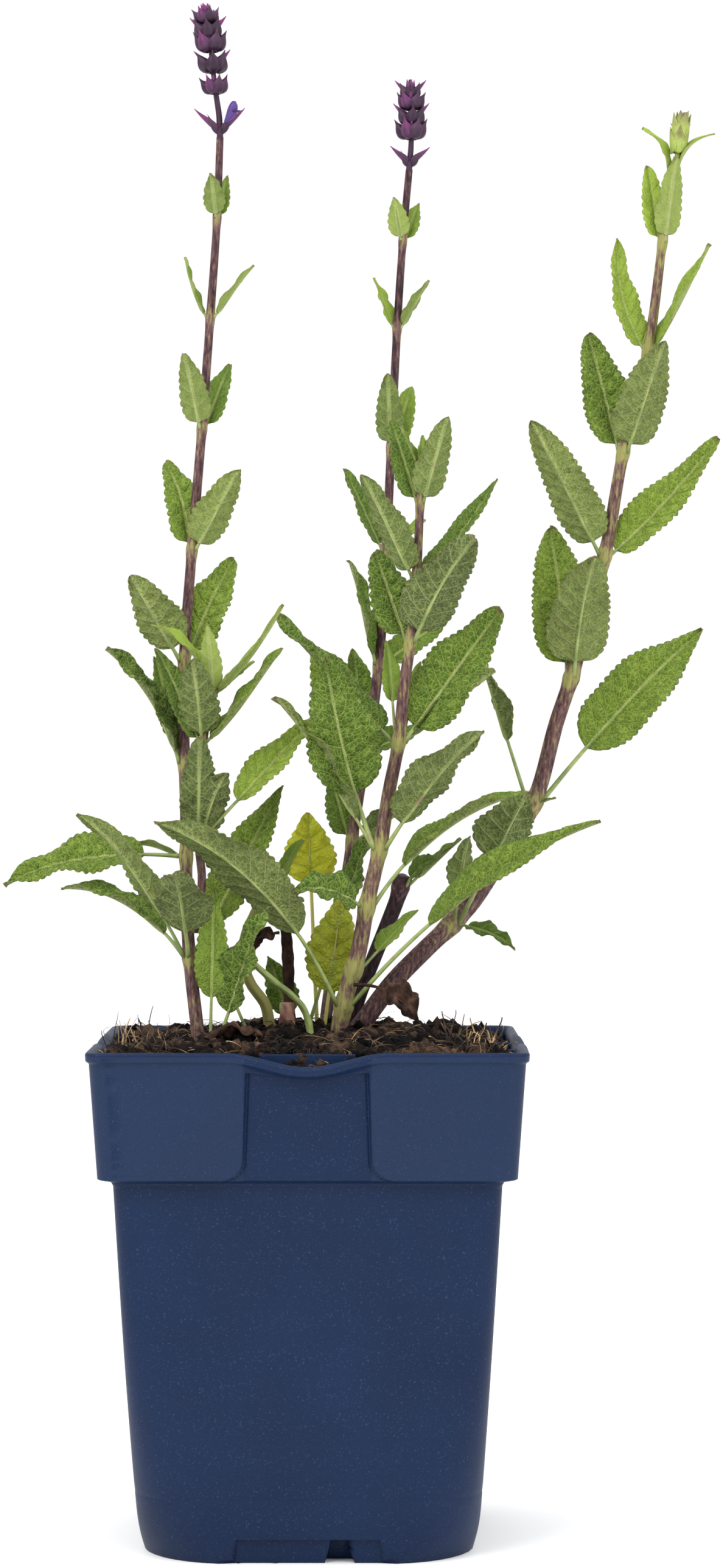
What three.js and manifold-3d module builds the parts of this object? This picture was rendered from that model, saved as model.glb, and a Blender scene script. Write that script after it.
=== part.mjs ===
// A young clump of sage, two of its stems in flower, growing in a square plastic nursery pot.
// The pot's foot stands on z = 0 with its axis on Z; +Y is the back. All sizes are in millimetres.
import * as THREE from "three";
import { mergeVertices } from "three/addons/utils/BufferGeometryUtils.js";
import Module from "manifold-3d";

// ---- Driving dimensions ----
const POT_HEIGHT = 140;
const RIM_WIDTH = 120; // outside, flat to flat, at the top of the rim
const FOOT_WIDTH = 94; // outside, flat to flat, at the bottom
const BAND_HEIGHT = 35; // the wide upper band
const BAND_STEP = 4.6; // how far the band stands out over the body
const BAND_TAPER = 2.4; // how much narrower each side of the band gets going down
const WALL = 2;
const TOP_CORNER = 5; // corner radius of the body under the band
const FOOT_CORNER = 26; // corner radius at the foot, where the pot is nearly round
const BEAD_HEIGHT = 1.6; // the thin edge round the rim
const BEAD_OUT = 0.7;
const PANEL_WIDTH = 32; // the sunk panel in the middle of each side of the band
const PANEL_DEPTH = 1;
const PANEL_FLARE = 6; // how far the panel widens each way at its rounded lower corners
const SCOOP_DROP = 3.6; // how far the rim dips over each panel
const SCOOP_WIDTH = 46;
const LIP_OUT = 3; // how far the rolled lip of a scoop stands out
const LIP_HEIGHT = 2.8;
const POCKET_WIDTH = 28; // slot for a label behind each scoop, inside measures
const POCKET_REACH = 3.6;
const POCKET_DEPTH = 30;
const POCKET_WALL = 1.2;
const FLOOR_HEIGHT = 8; // underside of the pot's floor
const FLOOR_THICKNESS = 1.6;
const NOTCH_WIDTH = 40; // shallow recess in the foot, in the middle of each side
const NOTCH_HEIGHT = 7;
const NOTCH_DEPTH = 1;
const SLOT_WIDTH = 5; // drain slot in each recess
const SLOT_OFFSET = 9;
const DRAIN_RADIUS = 4; // round holes in the floor
const DRAIN_SPACING = 22;
const CENTRE_PAD_RADIUS = 9; // the hub under the floor that the pot also stands on
const SOIL_GAP = 0.4; // between the soil and the plastic
const SOIL_BELOW_RIM = 2.5;
const SOIL_MOUND = 6;
const SEAT = 0.3; // gap that any two touching pieces keep
const FINENESS = 0.1; // facets smaller than this are merged
const COLLAR_WALL = 0.8; // the ridge round a stem that carries a tier of leaves
const COLLAR_LENGTH = 2.4;
const COLLAR_GAP = 0.1; // between a leaf that rises past the next tiers and their ridges
const LEAF_THICKNESS = 0.9;
const SMALL_LEAF = 16; // leaves shorter than this are made with fewer facets
const STALK_WIDTH = 1.7;
const LEAF_FOLD = 0.32; // rise of a leaf's edges over its midrib, per half width

const wasm = await Module();
wasm.setup();
const { Manifold, Mesh } = wasm;
const V = (x, y, z) => new THREE.Vector3(x, y, z);

// ---- Solids from rings of points ----

// A closed solid through rings of equal size, listed upwards with each ring counter-clockwise.
// An end that is a single point closes to that point; any other end gets a flat fan.
function loft(rings) {
  const size = Math.max(...rings.map((r) => r.length));
  const points = rings.flat();
  const starts = [];
  rings.reduce((n, r) => (starts.push(n), n + r.length), 0);
  const faces = [];
  for (let i = 0; i + 1 < rings.length; i++) {
    const [lower, upper] = [starts[i], starts[i + 1]];
    for (let k = 0; k < size; k++) {
      const next = (k + 1) % size;
      const [a, b] = rings[i].length === 1 ? [lower, lower] : [lower + k, lower + next];
      const [c, d] = rings[i + 1].length === 1 ? [upper, upper] : [upper + k, upper + next];
      if (a !== b) faces.push(a, b, d);
      if (c !== d) faces.push(a, d, c);
    }
  }
  const last = starts[rings.length - 1];
  for (let k = 1; k + 1 < size; k++) {
    if (rings[0].length > 1) faces.push(0, k + 1, k);
    if (rings[rings.length - 1].length > 1) faces.push(last, last + k, last + k + 1);
  }
  return Manifold.ofMesh(
    new Mesh({
      numProp: 3,
      vertProperties: Float32Array.from(points.flatMap((p) => [p.x, p.y, p.z])),
      triVerts: Uint32Array.from(faces),
    }),
  );
}

// A three.js geometry as a manifold-3d solid.
function solidOf(geometry) {
  const bare = geometry.clone();
  bare.deleteAttribute("normal");
  bare.deleteAttribute("uv");
  const merged = mergeVertices(bare, 1e-4);
  return Manifold.ofMesh(
    new Mesh({
      numProp: 3,
      vertProperties: merged.attributes.position.array,
      triVerts: Uint32Array.from(merged.index.array),
    }),
  );
}

// A manifold-3d solid as a named three.js mesh.
function meshOf(name, solid, colour, roughness = 0.6) {
  const made = solid.getMesh();
  const geometry = new THREE.BufferGeometry();
  geometry.setAttribute("position", new THREE.BufferAttribute(made.vertProperties, 3));
  geometry.setIndex(new THREE.BufferAttribute(made.triVerts, 1));
  geometry.computeVertexNormals();
  const material = new THREE.MeshStandardMaterial({ color: colour, roughness, metalness: 0 });
  const mesh = new THREE.Mesh(geometry, material);
  mesh.name = name;
  return mesh;
}

// A level square ring with rounded corners.
function squareRing(half, radius, z, steps = 3) {
  const r = Math.min(radius, half);
  const ring = [];
  for (const quarter of [0, 1, 2, 3]) {
    const sx = quarter === 0 || quarter === 3 ? 1 : -1;
    const sy = quarter < 2 ? 1 : -1;
    for (let i = 0; i <= steps; i++) {
      const a = ((quarter + i / steps) * Math.PI) / 2;
      ring.push(V(sx * (half - r) + r * Math.cos(a), sy * (half - r) + r * Math.sin(a), z));
    }
  }
  return ring;
}

// A block between two corners.
function block(low, high) {
  const box = new THREE.BoxGeometry(high[0] - low[0], high[1] - low[1], high[2] - low[2]);
  box.translate((low[0] + high[0]) / 2, (low[1] + high[1]) / 2, (low[2] + high[2]) / 2);
  return solidOf(box);
}

// An outline of [x, z] pairs, standing in the XZ plane, extruded along Y from near to far.
function slab(outline, near, far) {
  const shape = new THREE.Shape(outline.map(([x, z]) => new THREE.Vector2(x, z)));
  const made = new THREE.ExtrudeGeometry(shape, { depth: far - near, bevelEnabled: false });
  made.rotateX(Math.PI / 2);
  made.translate(0, far, 0);
  return solidOf(made);
}

// The same piece on each of the pot's four sides.
function onFourSides(solid) {
  return Manifold.union([0, 90, 180, 270].map((turn) => solid.rotate([0, 0, turn])));
}

// ---- The pot ----
const BAND_FOOT = POT_HEIGHT - BAND_HEIGHT;
const RIM_HALF = RIM_WIDTH / 2 - BEAD_OUT;
const BODY_HALF = RIM_WIDTH / 2 - BAND_TAPER - BAND_STEP;
const FOOT_HALF = FOOT_WIDTH / 2;

// Half width and corner radius of the body at height z, outside.
function bodyAt(z) {
  const t = 1 - z / BAND_FOOT;
  const footCurve = 1.2 * Math.max(0, 1 - z / 12) ** 2;
  return {
    half: BODY_HALF + (FOOT_HALF - BODY_HALF) * t - footCurve,
    radius: TOP_CORNER + (FOOT_CORNER - TOP_CORNER) * t ** 3,
  };
}

function bodyRing(z, inset) {
  const { half, radius } = bodyAt(z);
  return squareRing(half - inset, Math.max(radius - inset, 1), z);
}

const BODY_LEVELS = [0, 4, 12, 26, 45, 70];
const FLOOR_TOP = FLOOR_HEIGHT + FLOOR_THICKNESS;

function potShell() {
  const body = loft([...BODY_LEVELS.map((z) => bodyRing(z, 0)), bodyRing(BAND_FOOT, 0)]);
  const bandCorner = TOP_CORNER + 1;
  const band = loft([
    squareRing(RIM_HALF - BAND_TAPER, bandCorner, BAND_FOOT),
    squareRing(RIM_HALF, bandCorner, POT_HEIGHT),
  ]);
  const bead = loft([
    squareRing(RIM_HALF, bandCorner, POT_HEIGHT - BEAD_HEIGHT - BEAD_OUT),
    squareRing(RIM_HALF + BEAD_OUT, bandCorner, POT_HEIGHT - BEAD_HEIGHT),
    squareRing(RIM_HALF + BEAD_OUT, bandCorner, POT_HEIGHT),
  ]);
  return body.add(band).add(bead);
}

// Half width of the band at height z, outside.
function bandHalf(z) {
  return RIM_HALF - (BAND_TAPER * (POT_HEIGHT - Math.min(z, POT_HEIGHT))) / BAND_HEIGHT;
}

// The room inside, narrower under the band and wider within it.
function potRoom(inset, top) {
  const levels = [FLOOR_TOP, 12, 26, 45, 70];
  const lower = levels.map((z) => bodyRing(z, WALL + inset));
  const step = BAND_FOOT + WALL;
  const inBand = (z) => squareRing(bandHalf(z) - WALL - inset, TOP_CORNER, z);
  return loft([
    ...lower,
    squareRing(BODY_HALF - WALL - inset, TOP_CORNER, step),
    inBand(step + BAND_STEP),
    inBand(POT_HEIGHT - BEAD_HEIGHT),
    inBand(top),
  ].sort((a, b) => a[0].z - b[0].z));
}

// Brings a piece made against an upright band, its outer face on y = 0 and its foot on z = 0, to the band's lean.
function onBand(solid) {
  const lean = THREE.MathUtils.radToDeg(Math.atan2(BAND_TAPER, BAND_HEIGHT));
  return solid.rotate([lean, 0, 0]).translate([0, -bandHalf(BAND_FOOT), BAND_FOOT]);
}

// Sunk panel: straight above, flaring out in a round at its lower corners.
function panelCut() {
  const half = PANEL_WIDTH / 2;
  const right = [0, 30, 60, 90].map((degrees) => {
    const a = THREE.MathUtils.degToRad(degrees);
    return [half + PANEL_FLARE * (1 - Math.sin(a)), 2 * PANEL_FLARE * (1 - Math.cos(a)) - 1];
  });
  right.push([half, BAND_HEIGHT - SCOOP_DROP - LIP_HEIGHT]);
  const left = right.map(([x, z]) => [-x, z]).reverse();
  return onBand(slab([...right, ...left], -3 * LIP_OUT, PANEL_DEPTH));
}

// How far the rim has dipped at a distance x from the middle of a side.
function dip(x) {
  const share = Math.min(1, Math.abs(x) / (SCOOP_WIDTH / 2));
  return SCOOP_DROP * 0.5 * (1 + Math.cos(Math.PI * share));
}

function alongScoop(count) {
  return Array.from({ length: count + 1 }, (_, i) => (i / count - 0.5) * SCOOP_WIDTH);
}

function scoopCut() {
  const line = alongScoop(6).map((x) => [x, POT_HEIGHT - dip(x)]);
  const roof = POT_HEIGHT + 5;
  return slab([...line, [SCOOP_WIDTH / 2, roof], [-SCOOP_WIDTH / 2, roof]], -RIM_WIDTH, -RIM_HALF + WALL + 0.01);
}

// The rolled lip of a scoop: it follows the dip and bulges out, thickest in the middle.
function scoopLip() {
  const rings = alongScoop(6).map((x) => {
    const share = Math.cos((Math.PI * x) / (SCOOP_WIDTH + 4));
    const top = POT_HEIGHT - dip(x);
    const out = -RIM_HALF - BEAD_OUT - (LIP_OUT - BEAD_OUT) * share;
    const deep = BEAD_HEIGHT + (LIP_HEIGHT - BEAD_HEIGHT) * share;
    const back = -RIM_HALF + WALL;
    return [V(x, back, top - deep), V(x, back, top), V(x, out + 0.8, top), V(x, out, top - deep / 2), V(x, out + 0.5, top - deep)];
  });
  return loft(rings);
}

// Label slot: a box with rounded shoulders on the inside of the wall, open at the top.
function pocketBlock(grow, top) {
  const half = POCKET_WIDTH / 2 + grow;
  const low = BAND_HEIGHT - POCKET_DEPTH - grow;
  const shoulder = 1.5;
  const outline = [
    [-half, low],
    [half, low],
    [half, top - shoulder],
    [half - shoulder, top],
    [-half + shoulder, top],
    [-half, top - shoulder],
  ];
  return onBand(slab(outline, WALL - 0.5, WALL + POCKET_REACH + grow));
}

function pocketHollow() {
  const half = POCKET_WIDTH / 2;
  const [low, high] = [BAND_HEIGHT - POCKET_DEPTH, BAND_HEIGHT + 5];
  return onBand(block([-half, WALL, low], [half, WALL + POCKET_REACH, high]));
}

function footNotch() {
  const half = NOTCH_WIDTH / 2;
  const depth = -FOOT_HALF + NOTCH_DEPTH;
  const recess = slab(
    [[-half - 1, -1], [half + 1, -1], [half, NOTCH_HEIGHT], [-half, NOTCH_HEIGHT]],
    -RIM_WIDTH,
    depth + 1.2,
  );
  const wide = SLOT_WIDTH / 2;
  const slot = slab(
    [
      [SLOT_OFFSET - wide - 2, -1],
      [SLOT_OFFSET + wide + 2, -1],
      [SLOT_OFFSET + wide, NOTCH_HEIGHT],
      [SLOT_OFFSET - wide, NOTCH_HEIGHT],
    ],
    -RIM_WIDTH,
    -FOOT_HALF + 8,
  );
  return recess.add(slot);
}

function drains() {
  const hole = new THREE.CylinderGeometry(DRAIN_RADIUS, DRAIN_RADIUS, 3 * FLOOR_THICKNESS, 10);
  hole.rotateX(Math.PI / 2);
  const one = solidOf(hole).translate([DRAIN_SPACING, DRAIN_SPACING, FLOOR_HEIGHT + FLOOR_THICKNESS / 2]);
  return onFourSides(one);
}

function centrePad() {
  const pad = new THREE.CylinderGeometry(CENTRE_PAD_RADIUS, CENTRE_PAD_RADIUS, FLOOR_HEIGHT + 0.5, 12);
  pad.rotateX(Math.PI / 2);
  return solidOf(pad).translate([0, 0, (FLOOR_HEIGHT + 0.5) / 2]);
}

function potSolid() {
  const under = loft([0, 4, FLOOR_HEIGHT].map((z) => bodyRing(z, WALL + 1)));
  const pockets = onFourSides(pocketBlock(POCKET_WALL, BAND_HEIGHT - 0.8));
  return potShell()
    .subtract(potRoom(0, POT_HEIGHT + 5))
    .subtract(under)
    .add(centrePad())
    .add(pockets)
    .subtract(onFourSides(pocketHollow()))
    .subtract(onFourSides(panelCut()))
    .subtract(onFourSides(scoopCut()))
    .subtract(onFourSides(footNotch()))
    .subtract(drains())
    .add(onFourSides(scoopLip()));
}

// ---- Stems: a centre line of [right, back, up] points, up counted from the rim ----

// The centre line's point and direction at a height, by cubic pieces through its points.
function along(path, up) {
  const slope = (i, k) => {
    const [a, b] = [Math.max(i - 1, 0), Math.min(i + 1, path.length - 1)];
    return (path[b][k] - path[a][k]) / (path[b][2] - path[a][2]);
  };
  let i = 0;
  while (i < path.length - 2 && up > path[i + 1][2]) i++;
  const span = path[i + 1][2] - path[i][2];
  const t = (up - path[i][2]) / span;
  const point = [0, 0, up];
  const direction = [0, 0, 1];
  for (const k of [0, 1]) {
    const [p, q] = [path[i][k], path[i + 1][k]];
    const [m, n] = [slope(i, k) * span, slope(i + 1, k) * span];
    point[k] = p + t * (m + t * (3 * (q - p) - 2 * m - n + t * (2 * (p - q) + m + n)));
    direction[k] = (m + t * (2 * (3 * (q - p) - 2 * m - n) + 3 * t * (2 * (p - q) + m + n))) / span;
  }
  return { point: V(...point), direction: V(...direction).normalize() };
}

// A stem's radius falls evenly from its foot to its top.
function girth(stem, up) {
  const [low, high] = [stem.path[0][2], stem.path[stem.path.length - 1][2]];
  return stem.foot + ((stem.top - stem.foot) * (up - low)) / (high - low);
}

// A tube round part of a stem's centre line, grown outwards by grow.
function tube(stem, from, to, steps, grow = 0, sides = 6) {
  const rings = [];
  for (let i = 0; i <= steps; i++) {
    const up = from + ((to - from) * i) / steps;
    const { point, direction } = along(stem.path, up);
    const side = V(0, 1, 0).cross(direction).normalize();
    const back = direction.clone().cross(side);
    const r = (girth(stem, up) + grow) / Math.cos(Math.PI / sides);
    const ring = Array.from({ length: sides }, (_, k) => {
      const a = ((k + 0.5) * 2 * Math.PI) / sides;
      return point.clone().addScaledVector(side, r * Math.cos(a)).addScaledVector(back, r * Math.sin(a));
    });
    rings.push(ring);
  }
  return loft(rings);
}

function stemSolid(stem, grow = 0) {
  const [low, high] = [stem.path[0][2], stem.path[stem.path.length - 1][2]];
  return tube(stem, low, high, stem.steps, grow);
}

// The room a stem needs in a neighbour: a little thicker and longer than the stem.
function clearance(stem) {
  const [low, high] = [stem.path[0][2], stem.path[stem.path.length - 1][2]];
  return Manifold.union([
    stemSolid(stem, SEAT),
    tube(stem, low - SEAT, low + SEAT, 1, SEAT),
    tube(stem, high - SEAT, high + SEAT, 1, SEAT),
  ]);
}

// ---- Leaves ----
// A leaf is a row: [right, back, up, width, front, bow, stalk]. The first three carry its tip from its
// root, front turns its upper face to the front (1) or to the back (-1), bow arches its midrib by that
// share of its length, and stalk is the bare share at its root.

// A blade's width along its length, 0 at its root to 1 at its tip.
const bladeShare = (s) => Math.sin(Math.PI * Math.min(s, 1) ** 0.62) ** 0.8;

function leafSolid(root, row) {
  const [right, back, up, width, front = 0, bow = 0, stalk = 0.08] = row;
  const reach = V(right, back, up);
  const length = reach.length();
  const level = Math.hypot(right, back);
  const upper = V((-right * up) / (level || 1), (-back * up) / (level || 1), level).normalize();
  const face = upper.clone().multiplyScalar(1 - Math.abs(front)).add(V(0, -front, 0));
  const bend = root.clone().addScaledVector(reach, 0.5).addScaledVector(upper, 2 * bow * length);
  const midrib = new THREE.QuadraticBezierCurve3(root, bend, root.clone().add(reach));
  const ring = (u, wide, thick) => {
    const at = midrib.getPoint(u);
    const tangent = midrib.getTangent(u);
    const side = tangent.clone().cross(face).normalize();
    const normal = side.clone().cross(tangent).normalize();
    const rise = (LEAF_FOLD * wide) / 2;
    const edge = (sign) => at.clone().addScaledVector(side, (sign * wide) / 2).addScaledVector(normal, rise);
    const rib = (sign) => at.clone().addScaledVector(normal, (sign * thick) / 2);
    return [edge(-1), rib(1), edge(1), rib(-1)];
  };
  const blade = (s) => ring(stalk + (1 - stalk) * s, Math.max(width * bladeShare(s), STALK_WIDTH / 2), LEAF_THICKNESS);
  const rings = [ring(0, Math.min(STALK_WIDTH, width), 1.3 * LEAF_THICKNESS)];
  if (stalk > 0.12) rings.push(ring(stalk, STALK_WIDTH * 0.9, LEAF_THICKNESS));
  const stations = length > SMALL_LEAF ? [0.12, 0.35, 0.62, 0.87] : [0.25, 0.7];
  rings.push(...stations.map(blade), [midrib.getPoint(1)]);
  return loft(rings);
}

// A tier of leaves on a stem: a ridge round the stem carries them, and each leaf leaves it on its own side.
// It stays clear of the ridges of the tiers above it.
function tierSolid(stem, up, rows) {
  const half = COLLAR_LENGTH / 2;
  const { point } = along(stem.path, up);
  const ridge = tube(stem, up - half, up + half, 1, SEAT + COLLAR_WALL);
  const above = stem.tiers.filter(([place]) => place > up).map(([place]) =>
    tube(stem, place - half - COLLAR_GAP, place + half + COLLAR_GAP, 1, SEAT + COLLAR_WALL + COLLAR_GAP));
  const leaves = rows.map(([right, back, rise, ...rest]) => {
    const out = V(right, back, 0).setLength(girth(stem, up) + SEAT + COLLAR_WALL / 2);
    return leafSolid(point.clone().add(out), [right - out.x, back - out.y, rise, ...rest]);
  });
  return largest(Manifold.union([ridge, ...leaves]).subtract(Manifold.union([clearance(stem), ...above])));
}

// Trimming by a stem can leave a sliver on its far side, so only the largest piece is kept.
function largest(solid) {
  const bySize = (a, b) => b.volume() - a.volume();
  const [kept] = solid.simplify(FINENESS).decompose().sort(bySize);
  return kept;
}

const STEMS = {
  left: {
    foot: 1.8,
    top: 0.95,
    steps: 15,
    path: [
      [-30, -23, -10], [-31, -22, 3], [-33, -20, 20], [-34.2, -17, 35], [-34.6, -14, 52], [-34.8, -11, 65],
      [-35.4, -8, 80], [-35.6, -6, 105], [-33.4, -4, 138.5], [-30.6, -3, 173], [-28.3, -2, 204.5],
      [-26.4, -1, 233], [-25.6, 0, 256],
    ],
    tiers: [
      [24, [[-36, 4, 21, 13, 0.1, 0.11, 0.2], [-29, -16, 42, 12, -0.2, 0.04, 0.25], [-3, -24, 25, 17, 0, 0.05, 0.25],
        [25.5, 18, 48, 15, 0.6, 0, 0.2]]],
      [52, [[-52, 4, -7, 15, 0.25, 0.06, 0.2], [-16, 7, 4, 6, -0.2, 0.05, 0.1]]],
      [78, [[-21.5, -5, 32.5, 15, 0.3, 0.08, 0.1], [-8.5, 7.5, 31, 8, 0.5, 0, 0.2]]],
      [107, [[-14.5, -9, 24, 15, -0.6, 0, 0.15], [14, 10, 29.5, 14, 0.7, 0.04, 0.1]]],
      [138.5, [[-8, 8, 26, 11.5, 0.6, 0.08], [13.5, -8, 22.5, 12, -0.6, 0]]],
      [173, [[-4.5, -9, 20.5, 9, -0.7, 0], [7.5, 8, 19.5, 8, 0.7, 0]]],
      [204.5, [[-7, 2, 17.5, 4.5, 0, -0.05], [12, -2, 15, 5.5, 0, 0]]],
      [233, [[-1.5, -5, 12, 6.5, -0.8, 0], [2.5, 5, 13, 5, 0.8, 0]]],
    ],
  },
  side: {
    foot: 1.1,
    top: 0.9,
    steps: 7,
    path: [
      [-32, -20.6, 31], [-30.6, -22, 38], [-29.8, -22.5, 46], [-30.8, -22, 56], [-31, -20, 66], [-30.3, -19, 80],
      [-28.5, -18, 90], [-26.2, -18, 100],
    ],
    tiers: [
      [57, [[8, -5, 19, 14, -0.5, 0.05, 0.1], [1, -13, 29, 11, -0.7, 0.05, 0.1], [34, 14, 36, 12, 0.5, 0, 0.3]]],
      [84, [[-2.5, -12, 23, 12, -0.5, 0.04, 0.1], [20.5, -3, 27, 10, 0.2, -0.05, 0.05], [-13, 5, 27, 9, 0.6, 0, 0.05]]],
      [98, [[-17, -2, 20, 6.5, 0.3, 0.12, 0.02], [19, -3, 24.5, 7.5, 0.1, -0.05, 0.02], [-1.5, -6, 19, 6.5, -0.8, 0, 0.02],
        [11, 6, 9, 6, 0.2, 0, 0.02]]],
    ],
  },
  front: {
    foot: 2.3,
    top: 0.9,
    steps: 12,
    path: [
      [6.5, -9, -8], [8.5, -10, 4], [10.5, -11, 14], [13.5, -12, 24], [16.5, -13, 40], [19.7, -13, 54], [22.3, -13, 70],
      [25, -13, 84], [26.6, -13, 100], [28.3, -13, 112], [30, -13, 130], [31, -13, 150], [31.6, -13, 164],
    ],
    tiers: [
      [10, [[-52, -28, 53, 17, -0.6, 0.1, 0.3], [71, -12, 53, 17, 0.35, 0.06, 0.36]]],
      [20, [[18, 8, 17, 8, 0.3, 0, 0.3]]],
      [38, [[46, 6, 33, 15, 0.1, 0.1, 0.25], [-20, -10, 5, 13, 0.5, 0.1, 0.1]]],
      [54, [[-15, -7, 54, 22, 0.85, -0.03, 0.3], [28, -17, 34, 17, -0.35, 0.03, 0.2], [-27, -10, 44, 13, 0.1, 0, 0.2]]],
      [84, [[-34.5, 9, 36, 13, 0.3, 0, 0.1], [29, 7, 38, 19, 0.7, 0, 0.12], [27, 15, 21, 12, -0.3, 0, 0.1],
        [-3, 5, 29, 6, 0.3, 0, 0.4], [6, 6, 23, 5, 0.3, 0, 0.4]]],
      [112, [[-10, 7, 26, 14, 0.8, 0, 0.1], [18, -13, 29, 17, -0.6, 0.05, 0.1]]],
      [130, [[-15, -7, 29, 11, -0.5, 0, 0.08], [22, 2, 28.5, 10, 0.4, -0.05, 0.05]]],
      [151, [[-8, 5, 24, 10, 0.7, 0], [7.5, -5, 24, 10, -0.7, 0]]],
      [162, [[-6, -1, 11, 4, 0.3, 0], [6, 5, 13, 5, 0.3, 0], [0.3, -2, 8, 3, 0.6, 0]]],
    ],
  },
  middle: {
    foot: 1.6,
    top: 0.9,
    steps: 12,
    path: [
      [3, 14, -8], [5, 16, 10], [8, 19, 30], [11, 21, 50], [14, 22, 70], [17.5, 22, 90], [20, 22, 112], [22, 21, 145],
      [23.2, 20, 170], [24.9, 20, 204], [26.6, 20, 230], [28.4, 20, 250],
    ],
    tiers: [
      [56, [[-6, 6, 18, 10, 0.7, 0, 0.1], [26, -4, 17, 11, -0.3, 0, 0.1]]],
      [82, [[-16, 6, 30, 13, 0.8, 0, 0.35], [-4, 8, 30, 11, 0.7, 0, 0.1], [18, 7, 8, 9, 0.5, 0, 0.1]]],
      [107, [[-7.5, -7, 30, 11, 0.5, 0, 0.1], [21, 9, 15, 10, 0.7, 0, 0.1]]],
      [140, [[-12, 3, 24, 9, 0.4, 0], [11, 5, 10, 7, 0.4, 0]]],
      [169.5, [[-1, -7, 21, 8.5, -0.8, 0], [6, 8, 19, 8, 0.8, 0]]],
      [204, [[-6.5, 1, 15, 5.5, 0.4, 0], [9, -1, 14, 5.5, -0.3, 0]]],
      [229.5, [[-2.5, -4, 12, 6.5, -0.8, 0], [4.5, 4, 11.5, 5.5, 0.8, 0]]],
    ],
  },
  right: {
    foot: 2.5,
    top: 1.0,
    steps: 18,
    path: [
      [6, 2, -8], [17, 5, 7], [24, 7, 16], [33, 10, 25], [40.5, 13, 32], [47, 15, 39], [56, 18, 53], [64.5, 20, 67],
      [71, 20, 90], [75.3, 20, 103], [80, 20, 120], [85, 20, 138.5], [90.3, 20, 168], [97.5, 20, 198], [101.7, 20, 229],
      [104.5, 20, 249], [106, 20, 253.5],
    ],
    tiers: [
      [32, [[21, -15, 38, 18, -0.6, 0, 0.5], [18, -13, -6, 7, 0.4, 0.05, 0.15], [4, -13, 26, 9, 0.3, 0, 0.4]]],
      [67, [[-14.5, 3, 40, 13, -0.3, 0, 0.45], [49, 4, 50.5, 20, 0.7, 0.02, 0.3], [6, -4, 1.5, 2.5, 0.2, 0]]],
      [103, [[-6, 9, 44.5, 19, 0.85, 0.03, 0.1], [6, -15, 35, 19, -0.7, 0.06, 0.12]]],
      [138.5, [[-21.5, -8, 38.5, 15, -0.6, 0, 0.1], [33, 3, 34.5, 14, 0.6, -0.03, 0.05]]],
      [168, [[-9.5, 8, 36, 15.5, 0.75, 0], [11, -11, 31.5, 15.5, -0.75, 0]]],
      [198, [[-8.5, 3, 32.5, 10, 0.55, -0.08, 0.04], [17, -2, 30.5, 9, 0.3, -0.02, 0.04]]],
      [229, [[-4, 4, 23, 8, 0.8, 0], [3.5, -5, 24, 8, -0.8, 0]]],
      [249, [[-8.5, 1, 13.5, 4, 0.3, 0.15, 0.02], [12, -1, 12, 4, 0.2, 0.15, 0.02]]],
    ],
  },
  bent: {
    foot: 1.5,
    top: 1.2,
    steps: 8,
    path: [[-11, 2, -6], [-12.5, 0, 9], [-17, -2, 16], [-19, -3, 23], [-17.8, -3, 31], [-13.5, -3, 39]],
    tiers: [[37, [[12, 5, 20, 7, 0.4, 0, 0.1], [13, -5, 3, 8, 0, 0.05, 0.1]]]],
  },
  pruned: {
    foot: 1.8,
    top: 2,
    steps: 6,
    path: [[10, 12, -5], [13.5, 12, 10], [18, 11, 22], [22, 10, 32], [25, 8, 40], [26.5, 6, 46]],
    tiers: [[43, [[10, -9, 8, 9, 0.5, 0.1, 0.2], [17, -1, 14, 9, 0.2, 0, 0.2]]]],
  },
};

// Dead and cut pieces that stand in the soil without leaves.
const STUMPS = {
  dead_stem: { foot: 1.5, top: 1.6, steps: 4, path: [[-5.5, 5, -6], [-6, 4, 10], [-6.5, 3, 25], [-7.6, 2, 38]] },
  cut_stub: { foot: 2, top: 2, steps: 1, path: [[-6.3, -14, -5], [-6.3, -14, 11]] },
  cut_leaf_stalk: { foot: 1, top: 0.8, steps: 3, path: [[1, -16, -2], [-2, -16, 10], [-12, -18, 19], [-20.5, -20, 26.5]] },
};

// Leaves that rise from the soil: root, then the rows that share it.
const BASAL = {
  left_basal_leaves: [[-27.5, -27, -7], [[1, 6, 50, 10, 0.7, 0, 0.4], [15, -2, 46, 15, 0.5, 0, 0.35]]],
  back_basal_leaf: [[-15, -6, -4], [[-16, 12, 36, 10, 0.5, 0, 0.5]]],
  yellow_leaf: [[2, 24, -5], [[-3, 5, 69, 16, 0.85, 0, 0.7]]],
  inner_basal_leaves: [[-3, 9, -5], [[20, 2, 65, 12, 0.4, 0, 0.6], [-9, 4, 28, 10, 0.8, 0, 0.4]]],
  yellowing_leaf: [[3, -2, -5], [[6, 2, 46, 16, 0.85, 0, 0.4]]],
};

const DEAD_LEAVES = {
  hanging_dead_leaf: [[12.5, -14.2, 16], [18, -8, -10, 10, 0.5, 0.15, 0.35]],
  fallen_dead_leaf: [[-13, -34, 3.2], [-16, -2, 0, 9, 0, 0.05, 0.1]],
  curled_dead_leaf: [[-8.8, 2, 30], [-9, -2, -8, 8, 0.3, 0.2, 0.1]],
};

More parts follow.
